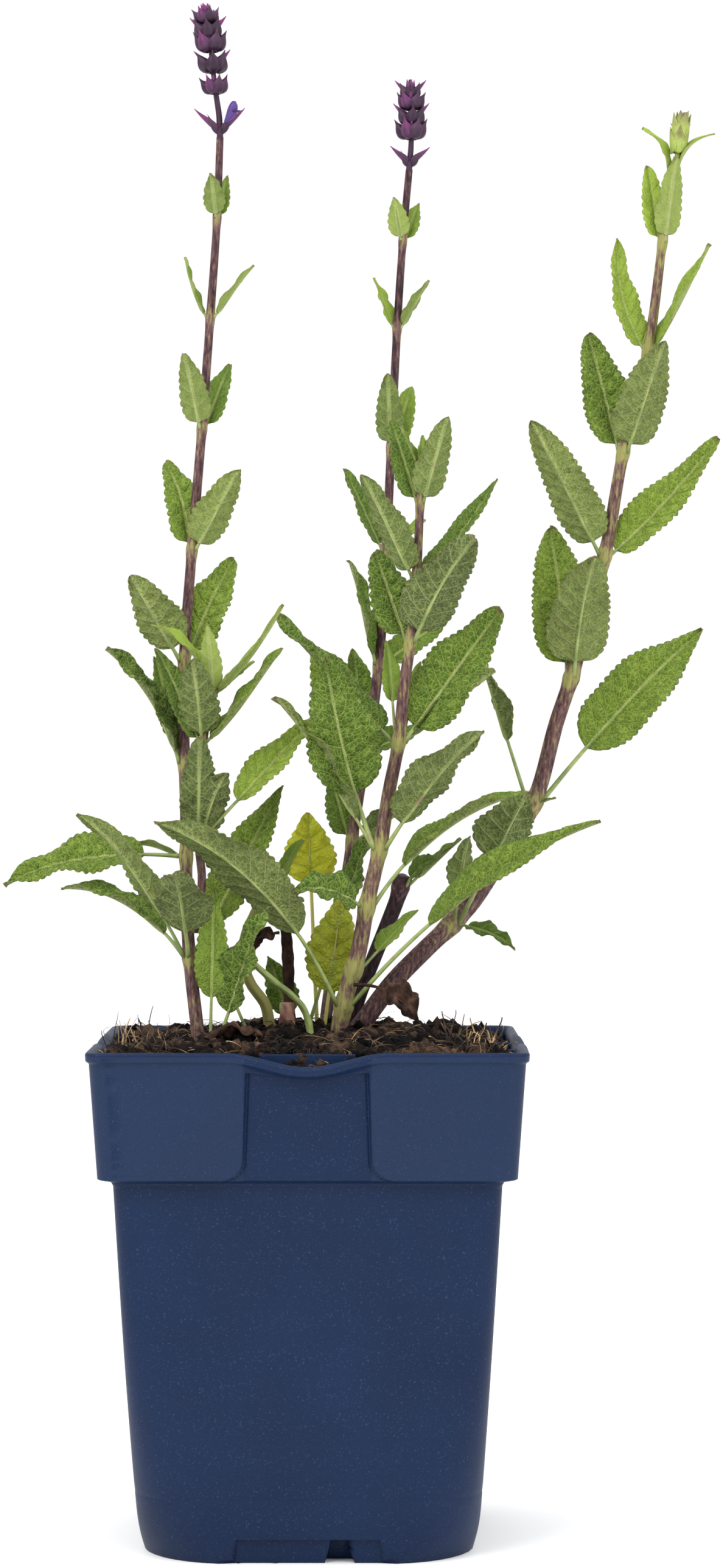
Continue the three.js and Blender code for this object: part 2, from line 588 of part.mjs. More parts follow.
// ---- Flowers: tiers of bracts and calyces up a thin axis ----
// A whorl is [height over the spike's foot, radius, bract length, degrees about the axis].
const SPIKES = {
  left_flower_spike: {
    path: [[-25.6, 0, 256.4], [-25.8, 0, 262], [-27, 0, 270], [-28.5, 0, 283], [-29.8, 0, 293]],
    whorls: [[1.5, 2.2, 9, 0], [13, 3.6, 5, 90], [19, 4.2, 7, 0], [25, 4.2, 5, 90], [28.5, 4, 7, 0], [33, 3.2, 5, 90]],
  },
  middle_flower_spike: {
    path: [[28.4, 20, 250.4], [28.9, 20, 256], [29.1, 20, 262], [28.7, 20, 276]],
    whorls: [[1.5, 2.2, 7, 0], [9.5, 4.2, 5, 90], [13.5, 3.8, 7, 0], [18, 3.6, 5, 90], [21, 3, 6, 0]],
  },
  right_flower_bud: {
    path: [[106.1, 20, 253.9], [106.4, 20, 258], [107.2, 20, 264]],
    whorls: [[3, 2.1, 5, 90], [7, 1.9, 3.5, 0]],
  },
};
const AXIS_RADIUS = 0.8;

function spikeSolid(spike) {
  const top = spike.path[spike.path.length - 1][2];
  const foot = spike.path[0][2];
  const axis = { foot: AXIS_RADIUS, top: AXIS_RADIUS * 0.8, path: spike.path };
  const parts = [tube(axis, foot, top, 4)];
  for (const [rise, radius, bract, turn] of spike.whorls) {
    const { point } = along(spike.path, foot + rise);
    const bowl = new THREE.LatheGeometry(
      [[0, -0.4], [radius, radius * 0.6], [radius * 0.7, radius * 1.35], [0, radius * 0.8]].map(
        ([x, y]) => new THREE.Vector2(x, y),
      ),
      6,
    );
    bowl.rotateX(Math.PI / 2);
    parts.push(solidOf(bowl).translate(point.toArray()));
    for (const side of [0, 180]) {
      const a = THREE.MathUtils.degToRad(turn + side);
      parts.push(leafSolid(point, [0.8 * bract * Math.cos(a), 0.8 * bract * Math.sin(a), 0.6 * bract, 4, 0, -0.12, 0]));
    }
  }
  return largest(Manifold.union(parts));
}

// ---- Soil: fills the pot to a low mound and keeps clear of the pockets and of every stem ----
function soilSolid(seats) {
  const top = POT_HEIGHT - SOIL_BELOW_RIM;
  const half = RIM_HALF - WALL - SOIL_GAP;
  const fill = potRoom(SOIL_GAP, top).subtract(block([-half, -half, 0], [half, half, FLOOR_TOP + SOIL_GAP]));
  const mound = loft([
    squareRing(half - 1, TOP_CORNER, top - 1),
    squareRing(half * 0.72, half * 0.4, top + SOIL_MOUND * 0.6),
    squareRing(half * 0.4, half * 0.4, top + SOIL_MOUND),
  ]);
  const pockets = onFourSides(pocketBlock(POCKET_WALL + SOIL_GAP, BAND_HEIGHT + 20));
  return largest(Manifold.union([fill, mound]).subtract(pockets).subtract(Manifold.union(seats)));
}

// ---- Assembly ----
const COLOURS = {
  pot: 0x2c3b5c,
  soil: 0x3a2c24,
  stem: 0x6b4a48,
  leaf: 0x6f9a3c,
  yellow: 0xb9b23a,
  dead: 0x4a3428,
  flower: 0x4b2a46,
};

const plant = new THREE.Group();
plant.position.set(0, 0, POT_HEIGHT);

const seats = [];
for (const [name, stem] of Object.entries(STEMS)) {
  plant.add(meshOf(`${name}_stem`, stemSolid(stem), COLOURS.stem));
  if (stem.path[0][2] < 0) seats.push(clearance(stem));
  stem.tiers.forEach(([up, rows], i) => {
    plant.add(meshOf(`${name}_leaves_${i + 1}`, tierSolid(stem, up, rows), COLOURS.leaf));
  });
}
for (const [name, stump] of Object.entries(STUMPS)) {
  plant.add(meshOf(name, stemSolid(stump), COLOURS.dead));
  seats.push(clearance(stump));
}
for (const [name, [root, rows]] of Object.entries(BASAL)) {
  const leaves = Manifold.union(rows.map((row) => leafSolid(V(...root), row)));
  plant.add(meshOf(name, leaves, name.startsWith("yellow") ? COLOURS.yellow : COLOURS.leaf));
  for (const [right, back, up, , , , stalk] of rows) {
    const path = [root, [root[0] + stalk * right, root[1] + stalk * back, root[2] + stalk * up]];
    seats.push(clearance({ foot: STALK_WIDTH / 2 + SEAT, top: STALK_WIDTH / 2 + SEAT, steps: 1, path }));
  }
}
for (const [name, [root, row]] of Object.entries(DEAD_LEAVES)) {
  plant.add(meshOf(name, leafSolid(V(...root), row), COLOURS.dead));
}
for (const [name, spike] of Object.entries(SPIKES)) {
  plant.add(meshOf(name, spikeSolid(spike), COLOURS.flower));
}

const placed = seats.map((seat) => seat.translate(plant.position.toArray()));

const group = new THREE.Group();
group.add(meshOf("pot", potSolid(), COLOURS.pot, 0.45));
group.add(meshOf("soil", soilSolid(placed), COLOURS.soil, 0.95));
group.add(plant);

export default group;
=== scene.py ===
import math
import random

import bmesh
import bpy
import numpy as np
from mathutils import Matrix, Vector


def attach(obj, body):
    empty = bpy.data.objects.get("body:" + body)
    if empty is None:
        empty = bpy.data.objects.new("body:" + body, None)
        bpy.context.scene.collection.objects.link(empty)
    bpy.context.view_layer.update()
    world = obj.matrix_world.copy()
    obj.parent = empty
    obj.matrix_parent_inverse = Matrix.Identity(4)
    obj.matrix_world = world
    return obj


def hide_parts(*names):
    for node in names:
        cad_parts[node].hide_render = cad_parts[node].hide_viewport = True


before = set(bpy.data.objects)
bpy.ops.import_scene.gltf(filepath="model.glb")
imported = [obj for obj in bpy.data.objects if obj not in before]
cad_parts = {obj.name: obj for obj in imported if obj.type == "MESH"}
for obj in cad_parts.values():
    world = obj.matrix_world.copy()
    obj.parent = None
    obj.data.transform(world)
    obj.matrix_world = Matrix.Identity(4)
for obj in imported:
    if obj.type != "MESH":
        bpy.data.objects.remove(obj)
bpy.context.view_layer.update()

bpy.ops.object.select_all(action="DESELECT")

# ---- Pot ----
# A square nursery pot moulded in one piece of dark blue polypropylene. Its upper band stands out over the
# tapering body, each side of the band has a sunk panel under a dipped, rolled lip, and the foot is notched.
MM = 0.001
POT_TOP = 140.0
BAND_FOOT = 105.0
RIM_HALF = 59.3
BODY_HALF = 53.0
FOOT_HALF = 47.0
WALL = 1.7


def ease(low, high, value):
    t = np.clip((value - low) / (high - low), 0.0, 1.0)
    return t * t * (3 - 2 * t)


def body_half(z):
    t = 1 - z / BAND_FOOT
    return BODY_HALF + (FOOT_HALF - BODY_HALF) * t - 1.2 * np.clip(1 - z / 12, 0, 1) ** 2


def band_half(z):
    return RIM_HALF - 2.4 * (POT_TOP - z) / (POT_TOP - BAND_FOOT)


def pot_half(z):
    """Half width of the pot outside at a height, with the band's step and the bead under the rim."""
    step = ease(BAND_FOOT - 0.9, BAND_FOOT + 0.5, z)
    bead = 0.8 * ease(POT_TOP - 3.2, POT_TOP - 2.4, z) * (1 - 0.35 * ease(POT_TOP - 0.8, POT_TOP, z))
    line = 0.12 * np.exp(-(((z - 17.5) / 0.35) ** 2))
    return body_half(np.minimum(z, BAND_FOOT)) * (1 - step) + band_half(z) * step + bead - line


def pot_corner(z):
    t = np.clip(1 - z / BAND_FOOT, 0, 1)
    return 5.0 + 21.0 * t**3


def side_relief(x, z):
    """How far the outside is pressed in (-) or out (+) on one side, x along the side from its middle."""
    reach = np.abs(x)
    low = np.clip((z - BAND_FOOT - 0.4) / 5.0, 0, 1)
    edge = 16.3 + 5.2 * (1 - np.sqrt(np.clip(1 - (1 - low) ** 2, 0, 1))) + 1.3 * (POT_TOP - z) / 35
    panel = (1 - ease(edge - 0.25, edge + 0.25, reach)) * ease(BAND_FOOT - 0.6, BAND_FOOT + 0.4, z)
    groove = np.exp(-(((reach - edge + 0.5) / 0.35) ** 2)) * ease(BAND_FOOT + 0.4, BAND_FOOT + 1.0, z)
    panel = -(1.2 * panel + 0.45 * groove) * (1 - ease(POT_TOP - 5.6, POT_TOP - 5.0, z))
    arc = np.cos(np.clip(reach / 19.0, 0, 1) * math.pi / 2)
    lip = 2.1 * arc**0.6 * np.exp(-(((z - (POT_TOP - 1.6)) / 1.75) ** 4))
    lip = lip * (1 - ease(18.0, 21.5, reach))
    under = -0.35 * (1 - ease(15.8, 17.0, reach)) * np.exp(-(((z - (POT_TOP - 4.6)) / 0.8) ** 2))
    notch = 1 - ease(6.5, 6.9, z)
    recess = -1.5 * (1 - ease(19.2 + 0.2 * (7 - z), 19.6 + 0.2 * (7 - z), reach)) * notch
    rib = 0.7 * (np.exp(-(((x + 9) / 0.5) ** 2)) + np.exp(-(((x + 19) / 0.5) ** 2))) * (1 - ease(6.3, 6.9, z))
    gap = -6.0 * ease(6.4 - 0.25 * (7 - z), 6.7 - 0.25 * (7 - z), x)
    gap = gap * (1 - ease(10.6, 10.9, x + 0.25 * (z - 7))) * notch
    return panel + lip + under + recess + rib + gap


def rim_dip(x):
    """How far the rim sinks along a side, most of all in its middle."""
    return 3.7 * 0.5 * (1 + np.cos(math.pi * np.clip(np.abs(x) / 22.0, 0, 1)))


def dip_share(z):
    """Share of the rim's dip at a height, so that only the top of the band sinks."""
    return ease(133.0, 137.0, z)


# Places along half a side, closer together where the relief is fine, and the mark of a rounded corner.
COLUMNS = np.concatenate([
    np.linspace(0, 5.6, 5), np.linspace(6.2, 11.2, 12), np.linspace(12, 15, 3), np.linspace(15.6, 24, 29),
])
CORNER = 999.0


def pot_ring(half, radius, round_steps=9):
    """Points of one level ring, with each point's place along its side and its outward direction."""
    flat = half - radius
    place = np.concatenate([COLUMNS, np.linspace(24, max(flat, 27), 9)[1:]])
    place = place * min(1.0, flat / place[-1])
    quarter = [(x, -half, x, 0.0, -1.0) for x in np.concatenate([-place[:0:-1], place])]
    for i in range(1, round_steps):
        a = -math.pi / 2 + math.pi / 2 * i / round_steps
        u, v = math.cos(a), math.sin(a)
        quarter.append((flat + radius * u, -flat + radius * v, CORNER, u, v))
    points, places, normals = [], [], []
    for side in range(4):
        c, s = math.cos(math.pi / 2 * side), math.sin(math.pi / 2 * side)
        for x, y, spot, u, v in quarter:
            points.append((x * c - y * s, x * s + y * c))
            places.append(spot)
            normals.append((u * c - v * s, u * s + v * c))
    return np.array(points), np.array(places), np.array(normals)


def pot_level(half, radius, z, press=None, dip=0.0):
    """One ring of the pot at a height: its sides pressed in or out, lowered by a share of the dip."""
    ring, place, normal = pot_ring(float(half), float(radius))
    straight = place != CORNER
    if press is not None:
        ring = ring + normal * np.where(straight, press(place), 0)[:, None]
    drop = np.where(straight, rim_dip(place), 0) * dip
    return np.column_stack([ring, np.full(len(ring), z) - drop]), place


def grid_piece(name, rows, columns):
    """A flat grid of rows by columns of vertices, ready to be shaped."""
    bpy.ops.object.select_all(action="DESELECT")
    bpy.ops.mesh.primitive_grid_add(x_subdivisions=columns - 1, y_subdivisions=rows - 1, size=2)
    piece = bpy.context.object
    piece.name = piece.data.name = name
    return piece


def corners_of(piece):
    """A piece's vertices as rows of numbers, in metres."""
    return np.array([v.co[:] for v in piece.data.vertices])


def move(piece, corners):
    """Puts a piece's vertices at new places, in metres."""
    piece.data.vertices.foreach_set("co", corners.reshape(-1).astype(np.float32))


def shape(piece, places):
    """Puts a piece's vertices at new places, in millimetres."""
    move(piece, np.asarray(places, float) * MM)
    piece.data.update()


def mark(mesh, key, values):
    """Keeps one number for each vertex, for the materials to read."""
    values = np.asarray(values, np.float32).reshape(-1)
    mesh.attributes.new(key, "FLOAT", "POINT").data.foreach_set("value", values)


def join(parts):
    """Joins pieces into the first of them, which stays selected and active."""
    bpy.ops.object.select_all(action="DESELECT")
    for part in parts:
        part.select_set(True)
    bpy.context.view_layer.objects.active = parts[0]
    bpy.ops.object.join()
    return parts[0]


def tidy(piece, merge=1e-6, holes=False):
    """Merges doubles, closes the ends and turns every face outwards."""
    bpy.context.view_layer.objects.active = piece
    bpy.ops.object.mode_set(mode="EDIT")
    bpy.ops.mesh.select_all(action="SELECT")
    bpy.ops.mesh.remove_doubles(threshold=merge)
    if holes:
        bpy.ops.mesh.select_all(action="SELECT")
        bpy.ops.mesh.fill_holes(sides=0)
    bpy.ops.mesh.select_all(action="SELECT")
    bpy.ops.mesh.normals_make_consistent(inside=False)
    bpy.ops.object.mode_set(mode="OBJECT")
    piece.data.shade_smooth()
    piece.select_set(False)


outer = np.concatenate([
    np.linspace(0, 6.2, 9), np.linspace(6.5, 7.2, 5), np.linspace(8.5, 17, 6), [17.2, 17.5, 17.8],
    np.linspace(20, 103.5, 22), np.linspace(104.1, 106, 8), np.linspace(106.6, 112, 8),
    np.linspace(114, 132.5, 8), np.linspace(133.3, 139.4, 20),
])
LIP = 139.4
PANEL_HALF = 17.3
rings, cheeks = [], []
for z in outer:
    ring, place = pot_level(pot_half(z), pot_corner(z), z, lambda x: side_relief(x, z), dip_share(z))
    rings.append(ring)
    cheeks.append(np.where(np.abs(place) > PANEL_HALF, 1.0, 0.0) * float(BAND_FOOT < z < POT_TOP - 1))
for inward, rise in ((0.15, 0.35), (0.6, 0.6), (1.1, 0.62), (1.55, 0.4)):
    half = float(pot_half(LIP)) - inward
    rings.append(pot_level(half, 5.0, LIP + rise, lambda x: side_relief(x, LIP) * (1 - inward / 1.6), 1.0)[0])
for z in (138.6, 136, 130, 118, 108, 100, 60, 30, 14, 10):
    half = float(pot_half(min(z, 137.0)) if z > 107 else body_half(z)) - WALL - 0.1
    rings.append(pot_level(half, max(float(pot_corner(z)) - WALL, 2.0), z, dip=dip_share(z))[0])
for z in (9.6, 8.0):
    rings.append(pot_level(30.0, 15.0, z)[0])
for z in (8.0, 4.0, 0.0):
    half = float(body_half(z)) - 2.7 + (0.6 if z == 0 else 0)
    radius = float(pot_corner(z)) - 2.5
    rings.append(pot_level(half, radius, z, lambda x: np.minimum(side_relief(x, z) + 0.9, 0) * 0.9)[0])
rings.append(rings[0])
around = len(rings[0])
places = np.array([np.vstack([r, r[:1]]) for r in rings])
pot = grid_piece("pot_shell", len(rings), around + 1)
shape(pot, places)
coarse = np.zeros(places.shape[:2])
coarse[:len(cheeks), :-1] = cheeks
mark(pot.data, "coarse", coarse)
tidy(pot, merge=2e-6)

# The floor is a plate of its own with four drain holes, standing on a hub in the middle.
FLOOR = 8.0
DRAIN = 22


def disc(radius, depth, place, vertices):
    """An upright cylinder with its middle at a place in millimetres."""
    bpy.ops.mesh.primitive_cylinder_add(
        vertices=vertices, radius=radius * MM, depth=depth * MM, location=[c * MM for c in place])
    return bpy.context.object


plate = disc(46, 1.6, (0, 0, FLOOR + 0.8), 64)
plate.name = "pot_floor"
outline = pot_ring(44.2, 20.0)[0]
outline = outline[np.linspace(0, len(outline), 64, endpoint=False).astype(int)]
outline = outline[np.argsort(np.arctan2(outline[:, 1], outline[:, 0]))]
co = corners_of(plate)
angle = np.arctan2(co[:, 1], co[:, 0])
for level in (co[:, 2] > 0, co[:, 2] < 0):
    rows = np.where(level)[0]
    co[rows[np.argsort(angle[rows])], 0:2] = outline * MM
move(plate, co)
cutters = [disc(4, 6, (DRAIN * sx, DRAIN * sy, 9), 32) for sx, sy in ((1, 1), (-1, 1), (-1, -1), (1, -1))]
hub = disc(9, FLOOR + 0.4, (0, 0, (FLOOR + 0.4) / 2), 48)
bevel = hub.modifiers.new("edge", "BEVEL")
bevel.width = 0.6 * MM
bevel.segments = 3
bpy.ops.object.modifier_apply(modifier="edge")
hub.name = "pot_hub"
bpy.ops.object.select_all(action="DESELECT")
for round_piece in (plate, hub, *cutters):
    round_piece.select_set(True)
bpy.ops.object.transform_apply(location=True)
for cutter in cutters:
    cut = plate.modifiers.new("drain", "BOOLEAN")
    cut.object = cutter
    bpy.context.view_layer.objects.active = plate
    bpy.ops.object.modifier_apply(modifier="drain")
    bpy.data.objects.remove(cutter)

# Behind each sunk panel lies a label slot: a back with rounded top corners, two cheeks and three ribs.
SLOT_WIDTH = 30.4
SLOT_MIDDLE = 124.0
SLOT_BACK = -52.6
slots = []
for side in range(4):
    bpy.ops.mesh.primitive_cube_add(size=1, location=(0, 0, 0))
    back = bpy.context.object
    back.name = f"label_slot_{side + 1}"
    mesh = bmesh.new()
    mesh.from_mesh(back.data)
    for v in mesh.verts:
        v.co = (v.co.x * SLOT_WIDTH, SLOT_BACK + v.co.y * 1.1, SLOT_MIDDLE + v.co.z * SLOT_WIDTH)
    deep_edges = [e for e in mesh.edges if abs(e.verts[0].co.y - e.verts[1].co.y) > 0.5]
    top_edges = [e for e in deep_edges if e.verts[0].co.z > SLOT_MIDDLE]
    bmesh.ops.bevel(mesh, geom=top_edges, offset=2.2, segments=5, affect="EDGES")
    mesh.to_mesh(back.data)
    mesh.free()
    parts = [back]
    for x in (-14.4, 14.4, -7.0, 0.0, 7.0):
        wide, deep, tall, middle = (1.1, 5.4, 29.0, 123.4) if abs(x) > 14 else (0.7, 1.3, 27.0, 123.0)
        bpy.ops.mesh.primitive_cube_add(size=1, location=(0, 0, 0))
        rib = bpy.context.object
        co = corners_of(rib) * (wide, deep, tall) + (x, SLOT_BACK - 0.5 - deep / 2, middle)
        behind_band = np.maximum(co[:, 1], 1.9 - band_half(co[:, 2]))
        co[:, 1] = np.where(co[:, 1] < -54, behind_band, co[:, 1])
        move(rib, co)
        parts.append(rib)
    join(parts)
    back.data.transform(Matrix.Rotation(math.pi / 2 * side, 4, "Z") @ Matrix.Scale(MM, 4))
    edge = back.modifiers.new("edge", "BEVEL")
    edge.width = 0.25 * MM
    edge.segments = 2
    bpy.ops.object.modifier_apply(modifier="edge")
    slots.append(back)


class Look:
    """A material with its Principled shader, and short ways to add linked nodes to it."""

    def __init__(self, name):
        self.material = bpy.data.materials.new(name)
        self.material.use_nodes = True
        self.tree = self.material.node_tree
        self.shader = self.tree.nodes["Principled BSDF"]

    def fill(self, node, inputs):
        for key, value in inputs.items():
            if isinstance(value, bpy.types.NodeSocket):
                self.tree.links.new(value, node.inputs[key])
            else:
                node.inputs[key].default_value = value

    def add(self, kind, inputs=None, **settings):
        node = self.tree.nodes.new(kind)
        for key, value in settings.items():
            setattr(node, key, value)
        self.fill(node, inputs or {})
        return node

    def noise(self, scale, detail, roughness=0.5, squeeze=1.0, at=None):
        """Noise in object coordinates unless others are given; a squeeze draws it out along the height."""
        if at is None:
            at = self.add("ShaderNodeTexCoord").outputs["Object"]
        if squeeze != 1.0:
            at = self.add("ShaderNodeMapping", {"Vector": at, "Scale": (1, 1, squeeze)}).outputs["Vector"]
        inputs = {"Vector": at, "Scale": scale, "Detail": detail, "Roughness": roughness}
        return self.add("ShaderNodeTexNoise", inputs).outputs["Fac"]

    def number(self, kind, a, b=0.0, c=0.0):
        return self.add("ShaderNodeMath", {0: a, 1: b, 2: c}, operation=kind).outputs[0]

    def read(self, key):
        return self.add("ShaderNodeAttribute", attribute_name=key).outputs["Fac"]

    def mix(self, factor, a, b):
        inputs = {"Factor": factor, "A": a, "B": b}
        return self.add("ShaderNodeMix", inputs, data_type="RGBA").outputs["Result"]

    def ramp(self, factor, stops):
        """A colour ramp through (place, colour) stops."""
        node = self.add("ShaderNodeValToRGB", {"Fac": factor})
        band = node.color_ramp
        while len(band.elements) < len(stops):
            band.elements.new(0.5)
        for element, (place, colour) in zip(band.elements, stops):
            element.position = place
            element.color = (*colour, 1)
        return node.outputs["Color"]

    def finish(self, colour, roughness, bump=None, inputs=None):
        """Fills in the shader and gives the material; a bump is a height, its strength and its distance."""
        self.fill(self.shader, {"Base Color": colour, "Roughness": roughness, **(inputs or {})})
        if bump is not None:
            normal = self.add("ShaderNodeBump", dict(zip(("Height", "Strength", "Distance"), bump)))
            self.tree.links.new(normal.outputs["Normal"], self.shader.inputs["Normal"])
        return self.material


def paint(piece, material):
    """Gives a piece one material."""
    piece.data.materials.clear()
    piece.data.materials.append(material)


look = Look("navy_polypropylene")
grain = look.noise(4200, 1)
base = look.ramp(look.noise(30, 3), [(0.3, (0.0024, 0.0112, 0.040)), (0.7, (0.0040, 0.0152, 0.052))])
pale = look.ramp(look.noise(1900, 2, 0.7), [(0.60, (0, 0, 0)), (0.78, (1, 1, 1))])
fleck = look.mix(pale, base, (0.034, 0.058, 0.115, 1))
worn = look.number("MULTIPLY", look.read("coarse"), grain)
colour = look.mix(worn, fleck, (0.013, 0.027, 0.066, 1))
streak = look.noise(160, 4, 0.6, squeeze=0.12)
rough = look.add("ShaderNodeMapRange", {"Value": streak, "To Min": 0.42, "To Max": 0.56}).outputs["Result"]
plastic = look.finish(colour, rough, (grain, 0.16, 0.0002), {"Specular IOR Level": 0.17})

for piece in (pot, plate, hub, *slots):
    paint(piece, plastic)
    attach(piece, "root")
    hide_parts("pot")

# ---- Soil ----
# Dark peat compost filled to the rim and heaped a little in the middle, with crumbs, bits of bark and
# pale root fibres on top. Loose pieces lie half sunk in it.
chance = random.Random(11)
SOIL_HALF = 56.6


def clump(x, y):
    """A rough value between about -1 and 1 that changes over the soil's surface."""
    value = 0.0
    for scale, share in ((11, 0.9), (5.2, 0.7), (2.4, 0.55), (1.25, 0.35)):
        a = np.sin(x / scale * 1.7 + 2.1 * np.sin(y / scale * 0.9 + scale))
        b = np.cos(y / scale * 1.3 - 1.7 * np.sin(x / scale))
        c = np.sin((x + y) / scale * 1.1 + scale * 3) * np.sin((x - 1.6 * y) / scale + 1.3)
        value = value + share * (a * b + c) * 0.5
    return value / 1.4


def soil_height(x, y):
    """Height of the soil's surface in millimetres."""
    edge = np.maximum(np.abs(x), np.abs(y)) / SOIL_HALF
    heap = 137.4 + 4.0 * np.clip(1 - edge**2.2, 0, 1) + 2.0 * np.exp(-(((x - 2) / 26) ** 2 + (y / 30) ** 2))
    slot = np.zeros_like(np.asarray(x, float))
    for u, v, deep in ((x, -y, 2.4), (x, y, 14.0), (y, x, 14.0), (y, -x, 14.0)):
        slot = np.maximum(slot, deep * (np.abs(u) < 15.6) * (v > 51.2))
    return heap + 1.45 * clump(x, y) - slot


def ground(x, y):
    """Height of the soil's surface at one point."""
    return float(soil_height(np.array(x), np.array(y)))


SIDE = 190
line = np.linspace(-SOIL_HALF, SOIL_HALF, SIDE)
gx, gy = np.meshgrid(line, line)
soil = grid_piece("peat_top", SIDE, SIDE)
shape(soil, np.dstack([gx, gy, soil_height(gx, gy)]))
bpy.context.view_layer.objects.active = soil
bpy.ops.object.mode_set(mode="EDIT")
bpy.ops.mesh.select_all(action="SELECT")
for _ in range(2):
    bpy.ops.mesh.extrude_region_move(TRANSFORM_OT_translate={"value": (0, 0, -0.2)})
bpy.ops.object.mode_set(mode="OBJECT")
co = corners_of(soil)
raised = co[:, 2].copy()
for top, z, half in ((0.05, 0.112, 49.0), (-0.15, 0.0112, 37.5)):
    low = (raised < top) & (raised > top - 0.2)
    co[low, 0:2] *= half / SOIL_HALF
    co[low, 2] = z
move(soil, co)
tidy(soil, merge=1e-7)


def piece_of(name, corners, faces):
    """A new piece from vertices in metres and faces."""
    mesh = bpy.data.meshes.new(name)
    mesh.from_pydata(corners, [], faces)
    piece = bpy.data.objects.new(name, mesh)
    bpy.context.scene.collection.objects.link(piece)
    return piece


CRUMBS = 2600
CRUMB_TOP = 146.5
spots = []
for _ in range(CRUMBS):
    x, y = chance.uniform(-55.5, 55.5), chance.uniform(-55.5, 50)
    if chance.random() < 0.35:
        x, y = chance.uniform(-55.5, 55.5), chance.uniform(-55, -30)
    spots.append((x, y))
bpy.ops.mesh.primitive_ico_sphere_add(subdivisions=1, radius=1)
seed = bpy.context.object
ico = corners_of(seed)
ico_faces = [tuple(p.vertices) for p in seed.data.polygons]
bpy.data.objects.remove(seed)
vertices, faces = [], []
for x, y in spots:
    size = chance.choice((0.4, 0.5, 0.6, 0.8, 1.0, 1.3, 1.8, 2.5)) * chance.uniform(0.7, 1.2)
    stretch = np.array([chance.uniform(0.7, 1.5), chance.uniform(0.6, 1.2), chance.uniform(0.5, 0.9)]) * size
    rough = 1 + 0.35 * np.array([chance.uniform(-1, 1) for _ in ico])[:, None]
    turn = Matrix.Rotation(chance.uniform(0, 6.3), 3, (chance.random(), chance.random(), 1))
    z = ground(x, y) + size * 0.25
    if max(abs(x), abs(y)) + 1.5 * size > SOIL_HALF or z + size > CRUMB_TOP:
        continue
    lump = (ico * rough * stretch) @ np.array(turn) + (x, y, z)
    faces.extend(tuple(k + len(vertices) * len(ico) for k in face) for face in ico_faces)
    vertices.append(lump)
crumbs = piece_of("peat_crumbs", (np.vstack(vertices) * MM).tolist(), faces)
tidy(crumbs, merge=1e-8)


def tube_faces(levels, around):
    """Faces of a closed tube whose vertices run round one level after another."""
    faces = []
    for i in range(levels - 1):
        for k in range(around):
            n = (k + 1) % around
            faces.append((i * around + k, i * around + n, (i + 1) * around + n, (i + 1) * around + k))
    return faces + [tuple(reversed(range(around))), tuple(range((levels - 1) * around, levels * around))]


def thread(points, radii, sides=4):
    """Vertices and faces of a closed tube through points."""
    points = [Vector(p) for p in points]
    rows = []
    for i, point in enumerate(points):
        ahead = points[min(i + 1, len(points) - 1)] - points[max(i - 1, 0)]
        ahead = ahead.normalized() if ahead.length > 1e-9 else Vector((0, 0, 1))
        side = ahead.orthogonal().normalized() if i == 0 else (side - ahead * side.dot(ahead)).normalized()
        over = ahead.cross(side)
        for k in range(sides):
            a = 2 * math.pi * k / sides
            rows.append(point + (side * math.cos(a) + over * math.sin(a)) * radii[i])
    return rows, tube_faces(len(points), sides)


FIBRES = 700
FIBRE_STEPS = 6
FIBRE_HALF = 57.5
FIBRE_LOW, FIBRE_TOP = 135, 153
vertices, faces = [], []
for i in range(FIBRES):
    x, y = chance.uniform(-54, 54), chance.uniform(-54, 45)
    if i % 3 == 0:
        y = chance.uniform(-54, -34)
    tuft = i % 5 == 0
    if tuft:
        x = chance.choice((-1, 1)) * chance.uniform(38, 55.5)
        y = chance.uniform(-54, 0)
        stand = chance.uniform(0.3, 1.4)
    elif chance.random() < 0.3:
        stand = chance.uniform(0.05, 0.45)
    else:
        stand = chance.uniform(-0.03, 0.1)
    heading = chance.uniform(0, 2 * math.pi)
    long = chance.uniform(4, 13) * (0.85 if tuft else 1.0)
    bend = chance.uniform(-1.8, 1.8) * (2.2 if tuft else 1.0)
    radius = chance.choice((0.07, 0.09, 0.11, 0.15, 0.22)) * (1.8 if tuft else 1.0)
    z = ground(x, y) + 0.35
    points = []
    for k in range(FIBRE_STEPS + 1):
        s = k / FIBRE_STEPS
        a = heading + bend * s
        points.append((x, y, z + math.sin(s * math.pi) * 0.12 * long))
        x += math.cos(a) * long / FIBRE_STEPS * math.cos(stand)
        y += math.sin(a) * long / FIBRE_STEPS * math.cos(stand)
        z += math.sin(stand) * long / FIBRE_STEPS
        if not tuft and stand < 0.12:
            z = ground(x, y) + 0.45
    heights = [p[2] for p in points]
    outside = max(abs(c) for p in points for c in p[:2]) > FIBRE_HALF
    if outside or min(heights) <= FIBRE_LOW or max(heights) > FIBRE_TOP:
        continue
    rows, quads = thread(points, [radius * (1 - 0.5 * k / FIBRE_STEPS) for k in range(FIBRE_STEPS + 1)])
    faces.extend(tuple(k + len(vertices) for k in face) for face in quads)
    vertices.extend(rows)
fibres = piece_of("root_fibres", [tuple(v * MM) for v in vertices], faces)
tidy(fibres, merge=1e-8)

look = Look("damp_peat")
lumps = look.noise(260, 6, 0.7)
mixed = look.number("MULTIPLY", lumps, look.noise(70, 3))
colour = look.ramp(mixed, [
    (0.18, (0.0025, 0.0020, 0.0020)), (0.27, (0.012, 0.0085, 0.0075)), (0.40, (0.120, 0.070, 0.042))])
peat = look.finish(colour, 0.95, (lumps, 0.8, 0.0012), {"Specular IOR Level": 0.12})

